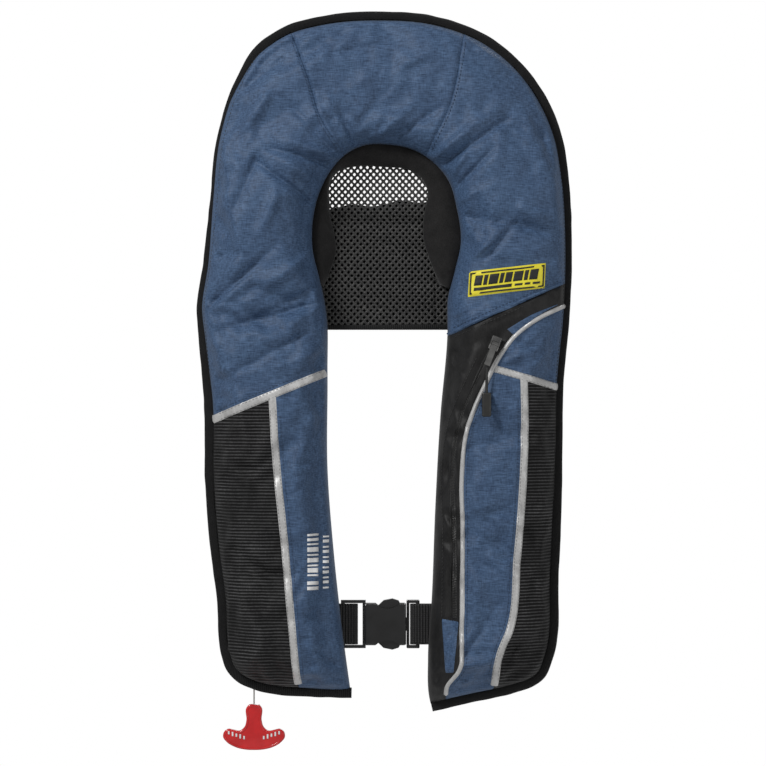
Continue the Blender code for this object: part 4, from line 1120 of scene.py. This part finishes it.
def yoke_depth(points):
    """Depth of the yoke cloth: nearly flat, with level creases where the net sags on its backing."""
    x, z = points[..., 0], points[..., 1]
    sag = np.exp(-((z + 40 + 0.05 * x) / 7.0) ** 2) - 0.7 * np.exp(-((z + 52) / 5.0) ** 2)
    ripples = 0.28 * np.sin(z / 4.3 + 0.5 * np.sin(x / 17.0)) + 0.22 * np.sin(x / 9.0 + z / 13.0)
    stitched = 0.5 * np.exp(-((z + 107.5) / 2.2) ** 2)
    return YOKE_DEPTH - 1.3 * sag + ripples + stitched


def yoke_half_width(z):
    """Half width of the yoke at a height, by straight lines between its measured corners."""
    return np.interp(z, (-148.0, -60.0, 12.0), (84.5, 74.0, 48.0))


column, row = np.meshgrid(np.arange(-16, 17), np.arange(-48, 5))
centres = np.stack([column * CELL + (row % 2) * CELL / 2, row * ROW], -1).reshape(-1, 2)
in_width = np.abs(centres[:, 0]) < yoke_half_width(centres[:, 1]) - 2.5
centres = centres[in_width & (centres[:, 1] > NET_LOW) & (centres[:, 1] < NET_HIGH)]
# a real net is never even: the holes lean a little from place to place
lean = 0.35 * np.sin(centres[:, 1] / 11.0 + centres[:, 0] / 23.0)
corners = centres[:, None] + CELL_EDGE
holes = centres[:, None] + CELL_HOLE + np.stack([lean, np.zeros(len(lean))], 1)[:, None]
both = np.concatenate([corners, holes], 1).reshape(-1, 2)
# corners that neighbours share are made one by rounding to so many grains to the millimetre
flat, index = np.unique(np.rint(both * GRAINS).astype(int), axis=0, return_inverse=True)
flat, index = flat / GRAINS, index.reshape(-1, 12)
k = np.arange(6)
cell_quads = np.stack([k, (k + 1) % 6, 6 + (k + 1) % 6, 6 + k], 1)
faces = index[:, cell_quads].reshape(-1, 4)
net = mesh_piece("yoke_net", upright(flat, yoke_depth(flat)), faces, "net_cloth")
walled(net, "wall", 0.8, 0.0)
stands_for(net, "yoke_mesh", "yoke")
print("net", len(centres), "cells")

# %% Backing behind the net
t = np.linspace(0.0, 1.0, 90)[:, None]
s = np.linspace(-1.0, 1.0, 110)[None, :]
head = -33.0 + 5.0 * s + 1.5 * np.sin(9 * s)
z = -148.0 * (1 - t) + head * t
x = yoke_half_width(z) * s * 0.985
flat = np.stack([x, z], -1)
# it lies behind the net, and over the belt channel at its foot it can't go deeper than the channel
behind = np.minimum(yoke_depth(flat) + 1.2, 9.3 + 2.0 * np.clip((z + 104.0) / 6.0, 0.0, 1.0))
backing = grid_piece("yoke_backing", upright(flat, behind), "net_backing", wall=0.25)
stands_for(backing, "yoke_mesh", "yoke")

# %% Hem round the yoke


def hem(name, path, width, thick):
    """A folded tape along a flat path: a thin pill section standing on the yoke's depth."""
    around = ring_turns(14)
    flat = path[:, None] + side_vectors(path)[:, None] * (np.cos(around)[:, None] * width / 2)
    base = yoke_depth(flat).mean(1, keepdims=True)
    rings = upright(flat, base + thick / 2 * squared(np.sin(around), 0.5))
    stands_for(capped_tube(name, rings, "binding_tape"), "yoke_mesh", "yoke")


lower = resampled(np.array(((84.0, -146.2), (30.0, -146.0), (-30.0, -146.6), (-84.0, -146.2))), 90)
hem("yoke_low_hem", lower, 4.6, 2.2)
for tag, way in (("left", -1.0), ("right", 1.0)):
    z = np.linspace(-145.0, 10.0, 90)
    hem(f"yoke_{tag}_hem", np.stack([way * (yoke_half_width(z) - 1.5), z], 1), 3.6, 2.0)

# %% [markdown]
# ## Tapes and piping
# A tape is a narrow strip laid on the cover along a seam. Its two edges tuck down into the cloth
# and its middle stands off by less than a millimetre. The piping is the same with a round top.

# %% Strip maker


def strip(name, line, width, lifts, look, node, wavy=0.0):
    """Columns side by side along a line, each lifted off the cover along its normal."""
    shares = np.linspace(-1.0, 1.0, len(lifts))
    line = resampled(line, max(12, int(travel(line) / 1.6)))
    ripple = wavy * wander(len(line), len(name), len(line) // 6)[:, None]
    flat = np.stack([shifted(line, a * width / 2) for a in shares], 1)
    lift = np.array(lifts)[None, :] + ripple * (1 - shares ** 2)[None, :]
    stands_for(grid_piece(name, over_front(flat, lift), look), node, "jacket")


def part_of(line, start, end):
    """The stretch of a line between two fractions of its length."""
    return at(line, np.linspace(start, end, 160))


TAPE_LIFTS = (-0.9, 0.35, 0.75, 0.85, 0.85, 0.75, 0.35, -0.9)
for name, node, line, start, end, width in (
        ("left_slant_tape", "left_diagonal_tape", left_diagonal, 0.0, 0.985, 8.8),
        ("left_long_tape", "left_upright_tape", left_upright, 0.02, 1.0, 8.4),
        ("right_slant_tape", "right_diagonal_tape", right_diagonal, 0.03, 1.0, 7.6),
        ("right_long_tape", "right_upright_tape", right_upright, 0.02, 1.0, 8.4)):
    strip(name, part_of(line, start, end), width, TAPE_LIFTS, "reflective_tape", node,
          0.15)
strip("piping_cord", part_of(piping, 0.016, 1.0), 4.8, (-1.0, 0.5, 1.25, 1.6, 1.25, 0.5, -1.0),
      "reflective_tape", "zip_piping", 0.12)

# %% Zip coil, its flap edge and the blue end patches
strip("zip_coil", zip_line, 4.6, (-0.6, 0.25, 0.55, 0.15, 0.55, 0.25, -0.6), "zip_coil", "zip_chain")
strip("flap_edge", part_of(shifted(piping, -10.0), 0.205, 0.80), 2.6, (-0.7, 0.5, 0.9, 0.5, -0.7),
      "flap_cloth", "cover_zip_panel", 0.1)
strip("yoke_seam_edge", part_of(shifted(zip_yoke, -1.6), 0.01, 0.97), 3.4, (-0.7, 0.7, 1.1, 0.7, -0.7),
      "blue_nylon", "cover_right_chest", 0.2)


def on_quad(quad, s, t):
    """Bilinear place in a four-cornered patch: corners weighted by the shares s and t."""
    s, t = np.asarray(s)[..., None], np.asarray(t)[..., None]
    return (quad[0] * (1 - s) + quad[1] * s) * (1 - t) + (quad[2] * (1 - s) + quad[3] * s) * t


top_line = resampled(smooth(((107.6, -148.8), (128.0, -137.0), (154.0, -126.5)), 60), 60)
foot_line = between(shifted(piping, -1.5), (115.8, -156.0), (154.0, -127.0), 60)
t = np.linspace(0, 1, 8)[None, :, None]
flat = top_line[:, None] * (1 - t) + foot_line[:, None] * t
lift = 0.5 - 0.9 * np.abs(2 * t[..., 0] - 1) ** 8 + np.zeros(flat.shape[:2])
sliver = grid_piece("zip_top_cloth", over_front(flat, lift), "blue_nylon")
stands_for(sliver, "cover_right_wedge", "jacket")
LOW_END = np.array(((52.5, -461.0), (60.0, -459.5), (48.6, -409.5), (65.4, -411.5)))
s, t = np.meshgrid(np.linspace(0, 1, 12), np.linspace(0, 1, 40))
lift = 0.75 - 1.4 * np.maximum(np.abs(2 * s - 1), np.abs(2 * t - 1)) ** 10
end_patch = grid_piece("zip_end_cloth", over_front(on_quad(LOW_END, s, t), lift), "blue_nylon")
stands_for(end_patch, "zip_end_patch", "jacket")

# %% [markdown]
# ## Stitches
# A stitch is a short thread with pointed ends. All the stitches of a row are made at once: their
# middles lie every 3 mm or so along the line, each one points along the line, and it stands half out
# of the cloth.

# %% Stitch maker


def stitch_row(line, spacing=3.2, length=2.2, thick=0.34, lift=0.25):
    """Points and faces of one row: per stitch, four rings of six round a short straight axis."""
    line = resampled(line, max(4, int(travel(line) / spacing)))
    middle = (line[:-1] + line[1:]) / 2
    run = np.diff(line, axis=0)
    run /= np.linalg.norm(run, axis=1)[:, None]
    start, end = (over_front(middle + a * run * length / 2, np.full(len(middle), lift)) for a in (-1, 1))
    below, above = (over_front(middle, np.full(len(middle), lift + a)) for a in (0, 1))
    up = above - below
    along = end - start
    side = np.cross(along / np.linalg.norm(along, axis=1)[:, None], up)
    turn = ring_turns(6)
    share, size = np.array((0.0, 0.22, 0.78, 1.0)), np.array((0.12, 1.0, 1.0, 0.12)) * thick
    spine = start[:, None] + along[:, None] * share[:, None]
    ring = side[:, None] * np.cos(turn)[:, None] + up[:, None] * np.sin(turn)[:, None]
    points = spine[:, :, None] + ring[:, None] * size[:, None, None]
    one = grid_faces(4, 6, round_columns=True)[:, ::-1]
    caps = np.array(((0, 1, 2, 3), (0, 3, 4, 5), (18, 21, 20, 19), (18, 23, 22, 21)))
    every = np.vstack([one, caps])
    faces = (every[None] + 24 * np.arange(len(middle))[:, None, None]).reshape(-1, 4)
    return points.reshape(-1, 3), faces


def stitching(name, rows, look, node):
    """All rows of one colour as one piece."""
    stands_for(joined(name, rows, look), node, "jacket")
    print(name, sum(len(p) for p, _ in rows) // 24, "stitches")


# %% Rows of stitches
tape_rows = [stitch_row(shifted(part_of(line, a, b), off), lift=0.7, thick=0.26)
             for line, a, b in ((left_diagonal, 0.06, 0.96), (left_upright, 0.04, 0.95),
                                (right_diagonal, 0.08, 0.94), (right_upright, 0.04, 0.95))
             for off in (-2.6, 2.6)]
stitching("tape_stitches", tape_rows, "grey_thread", "left_diagonal_tape")
blue_rows = [stitch_row(shifted(part_of(line, a, b), off), thick=0.3)
             for line, a, b, off in ((left_shoulder, 0.06, 0.93, -2.4), (right_shoulder, 0.06, 0.93, 2.4),
                                     (left_diagonal, 0.05, 0.93, -6.2), (left_upright, 0.04, 0.93, 6.2),
                                     (zip_yoke, 0.06, 0.95, -4.6), (piping, 0.05, 0.70, 4.4),
                                     (right_upright, 0.05, 0.93, -6.0))]
stitching("blue_stitches", blue_rows, "blue_thread", "cover_left_chest")
edge_row = resampled(shifted(outline, BINDING - 1.9), 1500)[12:-12]
black_rows = [stitch_row(edge_row, spacing=3.4, lift=0.0, thick=0.3),
              stitch_row(shifted(part_of(piping, 0.20, 0.78), -17.5), thick=0.3),
              stitch_row(shifted(part_of(zip_yoke, 0.04, 0.62), 3.6), thick=0.3)]
flat_edge = black_rows[0][0]
flat_edge[:, 1] = np.minimum(flat_edge[:, 1], -2.4)
stitching("black_stitches", black_rows, "black_thread", "edge_binding")

# %% [markdown]
# ## Label and print
# The label is a small yellow patch with a black frame. Plain slanted blocks stand for its printing,
# and two rows of plain bars stand for the printing on the left lobe. They aren't letters.

# %% Label patch
LABEL = np.array(((72.9, -120.2), (142.2, -112.0), (74.2, -97.2), (143.1, -89.5)))


def marks(name, quad, boxes, look, lift, node, slot, slant=0.0):
    """Small raised tiles: each box is s0, t0, s1, t1 in shares of the patch, leaned by a slant."""
    s, t = np.meshgrid(np.linspace(0, 1, 7), np.linspace(0, 1, 5))
    pairs = []
    for s0, t0, s1, t1 in boxes:
        across, up = s0 + (s1 - s0) * s, t0 + (t1 - t0) * t
        top = over_front(on_quad(quad, across + slant * (up - t0), up), np.full(s.shape, lift))
        pairs.append((top.reshape(-1, 3), grid_faces(5, 7)))
    piece = joined(name, pairs, look)
    walled(piece, "ink", 0.3)
    stands_for(piece, node, "jacket")


s, t = np.meshgrid(np.linspace(0, 1, 40), np.linspace(0, 1, 14))
pull_in = 1.5 * np.maximum(np.abs(2 * s - 1), np.abs(2 * t - 1)) ** 24
label = grid_piece("label_cloth", over_front(on_quad(LABEL, s, t), 1.5 - pull_in), "patch_yellow")
stands_for(label, "label_patch", "jacket")
frame_boxes = ((0.025, 0.07, 0.975, 0.13), (0.025, 0.87, 0.975, 0.93), (0.025, 0.07, 0.042, 0.93),
               (0.958, 0.07, 0.975, 0.93))
blocks = [(a, 0.40, a + w, 0.80) for a, w in (
    (0.075, 0.09), (0.185, 0.05), (0.255, 0.12), (0.395, 0.05), (0.465, 0.09), (0.575, 0.12),
    (0.715, 0.05), (0.785, 0.10))]
blocks += [(0.075, 0.20, 0.56, 0.32)] + [(a, 0.22, b, 0.30) for a, b in (
    (0.60, 0.70), (0.73, 0.80), (0.83, 0.92))]
marks("label_frame", LABEL, frame_boxes, "patch_black", 1.75, "label_patch", "label_cloth")
marks("label_blocks", LABEL, blocks, "patch_black", 1.75, "label_patch", "label_cloth", 0.05)

# %% Print on the left lobe
BIG = np.array(((-61.0, -384.0), (-61.0, -333.0), (-73.0, -384.0), (-73.0, -333.0)))
SMALL = np.array(((-52.2, -384.0), (-52.2, -333.0), (-59.0, -384.0), (-59.0, -333.0)))
big_bars = [(a, 0.10, a + w, 0.90) for a, w in (
    (0.00, 0.06), (0.09, 0.06), (0.24, 0.03), (0.30, 0.08), (0.41, 0.03), (0.48, 0.08), (0.60, 0.03),
    (0.67, 0.08), (0.79, 0.03), (0.86, 0.05), (0.95, 0.04))]
small_bars = [(0.01 + 0.09 * n, 0.12, 0.01 + 0.09 * n + (0.05 if n % 2 else 0.03), 0.88) for n in range(11)]
marks("big_print", BIG, big_bars, "white_print", 0.45, "cover_left_front", "blue_nylon")
marks("small_print", SMALL, small_bars, "white_print", 0.45, "cover_left_front", "blue_nylon")

# %% [markdown]
# ## Bladder and closures
# The bladder is a flat roll of coated cloth folded lengthways, narrower beside the gas cylinder.
# Its section is a flattened round with pleats: the depth is rippled by a cosine of the turn angle.

# %% Packed bladder
STATIONS = (
    (-68, -452, 0.55), (-75, -360, 0.55), (-80, -262, 0.60), (-104, -170, 1.0), (-117, -70, 1.0),
    (-108, 20, 1.0), (-62, 72, 0.9), (0, 82, 0.9), (60, 74, 0.9), (104, 20, 1.0), (118, -70, 1.0),
    (112, -170, 1.0), (104, -300, 1.0), (100, -450, 0.95))
ROLL_HALF_WIDTH, ROLL_HALF_DEPTH, ROLL_Y, ROLL_ROWS = 29.0, 7.4, -14.0, 240
path = smooth([(x, z) for x, z, _ in STATIONS], ROLL_ROWS)
place = np.linspace(0, 1, ROLL_ROWS)
size = np.interp(place, np.linspace(0, 1, len(STATIONS)), [s[2] for s in STATIONS])[:, None]
around = ring_turns(60)
pleats = 1 + 0.16 * np.cos(6 * around) + 0.05 * wander(ROLL_ROWS, 12, 60)[:, None]
wide = ROLL_HALF_WIDTH * size * np.cos(around) * (1 + 0.02 * wander(ROLL_ROWS, 11, 40)[:, None])
deep = ROLL_HALF_DEPTH * size * np.sin(around) * pleats
roll = capped_tube("packed_bladder", swept(path, wide, ROLL_Y + deep), "bladder_cloth")
stands_for(roll, "bladder", "jacket")

# %% Hook and loop closures
CLOSURE_NEAR, CLOSURE_FAR = 2.0, 13.5
for tag, foot, head, outwards in (("left", (-36.5, -455.0), (-54.3, -200.0), -1.0),
                                  ("right", (37.6, -455.0), (52.0, -190.0), 1.0)):
    run = between(neckline, nearest(neckline, foot), nearest(neckline, head), 120)
    reach = sorted((outwards * CLOSURE_NEAR, outwards * CLOSURE_FAR))
    share = np.linspace(0.0, 1.0, 9)[None, :, None]
    flat = (run + (reach[0], 0.0))[:, None] * (1 - share) + (run + (reach[1], 0.0))[:, None] * share
    closure = grid_piece(f"hook_loop_{tag}", upright(flat, 0.0), "hook_and_loop", wall=1.3, wall_offset=0.0)
    stands_for(closure, f"closure_{tag}", "jacket")

# %% [markdown]
# ## Belt
# Webbing is a flat pill section 38 mm wide. Each side of the waist belt turns up behind its lobe
# with a mitred corner and runs to the yoke. Loops and cloth sleeves are short tubes with a wall.

# %% Webbing maker
HALF = WEBBING / 2


def webbing(name, first, last, thick, depth, body, node, spacing=3.0):
    """A flat strap between two edge lines: each ring is a pill from one edge point to the other."""
    length = np.linalg.norm(np.diff((first + last) / 2, axis=0), axis=1)
    place = np.r_[0.0, np.cumsum(length)] / length.sum()
    t = np.unique(np.r_[place, np.linspace(0, 1, int(length.sum() / spacing) + 2)])
    ends = [np.stack([np.interp(t, place, line[:, k]) for k in (0, 1)], 1) for line in (first, last)]
    around = ring_turns(32)
    middle, half = (ends[0] + ends[1]) / 2, (ends[0] - ends[1]) / 2
    flat = middle[:, None] + half[:, None] * np.cos(around)[:, None]
    rings = upright(flat, depth + thick / 2 * squared(np.sin(around), 0.4))
    strap = capped_tube(name, rings, "webbing")
    stands_for(strap, node, body)
    return strap


low, high, top = BELT_Z - HALF, BELT_Z + HALF, -127.5
CHANNEL_MOUTH = 86.4
for tag, way, start, out in (("left", -1.0, 43.6, 128.5), ("right", 1.0, 79.2, 143.5)):
    corner = out - WEBBING
    inside = np.array(((start, high), (corner, high), (corner, top - HALF), (CHANNEL_MOUTH, top - HALF)))
    outside = np.array(((start, low), (out, low), (out, top + HALF), (CHANNEL_MOUTH, top + HALF)))
    inside, outside = inside * (way, 1.0), outside * (way, 1.0)
    right_side, left_side = (inside, outside) if way < 0 else (outside, inside)
    strap = webbing(f"waist_belt_{tag}", right_side, left_side, 1.6, BELT_Y, None, f"belt_{tag}")
    middle = way * (out - HALF) * MM
    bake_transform(strap)

level = np.array(((-86.0, top - HALF), (86.0, top - HALF)))
webbing("yoke_belt", level, level + (0.0, WEBBING), 1.6, BELT_Y, "yoke", "belt_back")
tail = np.array(((44.5, low), (78.8, low)))
webbing("plug_tail", tail, tail + (0.0, WEBBING), 1.5, 15.4, "plug", "belt_tail")


# %% Loops and sleeves
def level_tube(name, x0, x1, centre, half_depth, half_height, wall, body, node):
    """A flat cloth tube along X, open at both ends, with rippled mouths."""
    around = ring_turns(80)
    rows = max(10, int((x1 - x0) / 2.0))
    x = np.linspace(x0, x1, rows)[:, None]
    soft = 0.25 * wander(rows, 21, rows // 3)[:, None]
    y = centre[0] + (half_depth + soft) * squared(np.sin(around), 0.5)
    z = centre[1] + half_height * squared(np.cos(around), 0.35)
    rings = np.stack(np.broadcast_arrays(x, y, z), -1)[:, ::-1]
    tube = grid_piece(name, rings, "black_nylon", round_columns=True, wall=wall)
    stands_for(tube, node, body)


level_tube("belt_channel_cloth", -84.3, 84.3, (BELT_Y, top), 2.7, 21.3, 0.8, "yoke", "belt_channel")
for tag, x0, x1 in (("left", -86.0, -62.0), ("right", 80.0, 104.0)):
    level_tube(f"belt_sleeve_{tag}", x0, x1, (BELT_Y, BELT_Z), 5.8, 21.6, 1.0, "jacket", f"sleeve_{tag}")


def upright_loop(name, x0, x1, y0, y1, wall, body, node):
    """Webbing doubled round a bar: a rounded oblong in plan, carried straight up."""
    around = ring_turns(64)
    x = (x0 + x1) / 2 + (x1 - x0) / 2 * squared(np.cos(around), 0.45)
    y = (y0 + y1) / 2 + (y1 - y0) / 2 * squared(np.sin(around), 0.45)
    z = BELT_Z + np.linspace(-HALF + 0.5, HALF - 0.5, 16)[:, None]
    rings = np.stack(np.broadcast_arrays(x, y, z), -1)
    stands_for(grid_piece(name, rings, "webbing", round_columns=True, wall=wall), node, body)


upright_loop("socket_loop", -45.6, -26.6, 8.4, 16.4, 1.5, "jacket", "belt_loop_left")
upright_loop("plug_loop", 21.2, 46.0, 8.2, 16.6, 0.9, "plug", "belt_loop_right")

# %% [markdown]
# ## Fittings kept from the solid model
# The buckle, zip slider, inflator, mouth tube and whistle have the right shapes already.
# They keep their solids, get a moulded or metal finish, and a narrow bevel where light should catch.

# %% Finishes on kept solids
KEPT = {
    "buckle_socket": ("buckle_plastic", 0.5), "buckle_plug": ("buckle_plastic", 0.45),
    "prong_upper": ("buckle_plastic", 0.5), "prong_lower": ("buckle_plastic", 0.5),
    "zip_slider": ("zip_metal", 0.3), "zip_tab": ("zip_metal", 0.0), "zip_pull_cord": ("pull_rubber", 0.0),
    "inflator_body": ("inflator_plastic", 0.4), "inflator_lever": ("yellow_plastic", 0.25),
    "lever_pin": ("zip_metal", 0.2), "co2_cylinder": ("cylinder_metal", 0.0),
    "auto_cap": ("yellow_plastic", 0.2), "oral_tube": ("inflator_plastic", 0.0),
    "oral_cap": ("red_plastic", 0.0), "whistle": ("red_plastic", 0.4), "whistle_lanyard": ("lanyard", 0.0)}
for node, (look, width) in KEPT.items():
    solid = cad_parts[node]
    for holder in solid.material_slots:
        holder.material = looks[look]
    if width:
        soft_edge = solid.modifiers.new("soft_edge", "BEVEL")
        soft_edge.width = width * MM
        soft_edge.segments = 2
        soft_edge.limit_method = "ANGLE"
        soft_edge.angle_limit = math.radians(35)
print(len(KEPT), "solids kept")

# %% [markdown]
# ## Handle
# The handle is a moulded plate with rounded edges. A flat filled outline is given half its
# thickness and a round bevel, and stood upright. It has a raised rim and, on each arm, a few plain
# raised bars. All of them ride with the handle.

# %% Handle, its rim and its bars
HANDLE_HALF = ((5.2, 0.0), (6.8, -2.0), (7.0, -14.0), (8.6, -19.5), (13.0, -23.2), (19.0, -22.4),
               (23.5, -21.6), (27.6, -24.6), (28.2, -29.0), (25.0, -33.4), (17.0, -38.2), (8.0, -40.4))
HANDLE_TOP, PLATE_HALF, PLATE_ROUND = -492.2, 1.7, 0.8
half = np.array(HANDLE_HALF)
loop = np.vstack([half, [[0.0, -40.8]], half[::-1] * (-1, 1), half[:1]])
loop = smooth(loop, 240) + (CORD_X, HANDLE_TOP)
outline_curve = bpy.data.curves.new("handle_outline", "CURVE")
outline_curve.dimensions = "2D"
outline_curve.fill_mode = "BOTH"
outline_curve.extrude = PLATE_HALF * MM
outline_curve.bevel_depth = PLATE_ROUND * MM
outline_curve.bevel_resolution = 3
ring = outline_curve.splines.new("POLY")
inner_loop = shifted(loop, PLATE_ROUND)[:-1] * MM
ring.points.add(len(inner_loop) - 1)
flat_and_weight = np.c_[inner_loop, np.zeros(len(inner_loop)), np.ones(len(inner_loop))]
ring.points.foreach_set("co", flat_and_weight.astype(np.float32).ravel())
ring.use_cyclic_u = True
shape = bpy.data.objects.new("handle_outline", outline_curve)
bpy.context.scene.collection.objects.link(shape)
flat_mesh = bpy.data.meshes.new_from_object(shape.evaluated_get(bpy.context.evaluated_depsgraph_get()))
bpy.data.objects.remove(shape, do_unlink=True)
bm = bmesh.new()
bm.from_mesh(flat_mesh)
bmesh.ops.remove_doubles(bm, verts=bm.verts, dist=1e-5)
bmesh.ops.rotate(bm, verts=bm.verts, cent=(0, 0, 0), matrix=Matrix.Rotation(math.pi / 2, 3, "X"))
bmesh.ops.recalc_face_normals(bm, faces=bm.faces)
bm.to_mesh(flat_mesh)
bm.free()
flat_mesh.materials.clear()
flat_mesh.materials.append(looks["red_plastic"])
flat_mesh.shade_smooth()
flat_mesh.set_sharp_from_angle(angle=math.radians(40))
handle = bpy.data.objects.new("handle_plate", flat_mesh)
bpy.context.scene.collection.objects.link(handle)
stands_for(handle, "pull_handle", "handle")

RIM_IN, RIM_HALF_WIDTH, RIM_HALF_DEPTH = 1.5, 0.75, 0.55
around = ring_turns(10)
rim_line = shifted(loop, RIM_IN)
across = np.broadcast_to(RIM_HALF_WIDTH * np.cos(around), (len(rim_line), len(around)))
for face, y in (("front", -2.5), ("back", 2.5)):
    rings = swept(rim_line, across, y + RIM_HALF_DEPTH * np.sin(around))
    rim = grid_piece(f"handle_rim_{face}", rings[:-1], "red_plastic", round_columns=True)
    stands_for(rim, "pull_handle", "handle")

BAR_START, BAR_PITCH, BAR_SLOPE, BAR_FOOT = 9.0, 3.5, 0.32, -524.4
bars = []
s, t = np.meshgrid(np.linspace(-1, 1, 5), np.linspace(-1, 1, 7))
for way in (-1.0, 1.0):
    for number in range(5):
        out = BAR_START + BAR_PITCH * number
        tall = 2.0 if number % 2 else 1.5
        spot = np.stack([CORD_X + way * out + 0.75 * s, BAR_FOOT + BAR_SLOPE * out + tall * t], -1)
        bars.append((upright(spot, -3.0).reshape(-1, 3), grid_faces(7, 5)))
raised_bars = joined("handle_bars", bars, "white_print")
walled(raised_bars, "ink", 0.5)
stands_for(raised_bars, "pull_handle", "handle")

# %% [markdown]
# ## Size
# The box of what is shown is printed.

# %% Size
shown_box = [list(corner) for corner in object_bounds()]
for name, low, high in zip("XYZ", *shown_box):
    print(f"{name}: {low * 1000:.1f} to {high * 1000:.1f} mm")
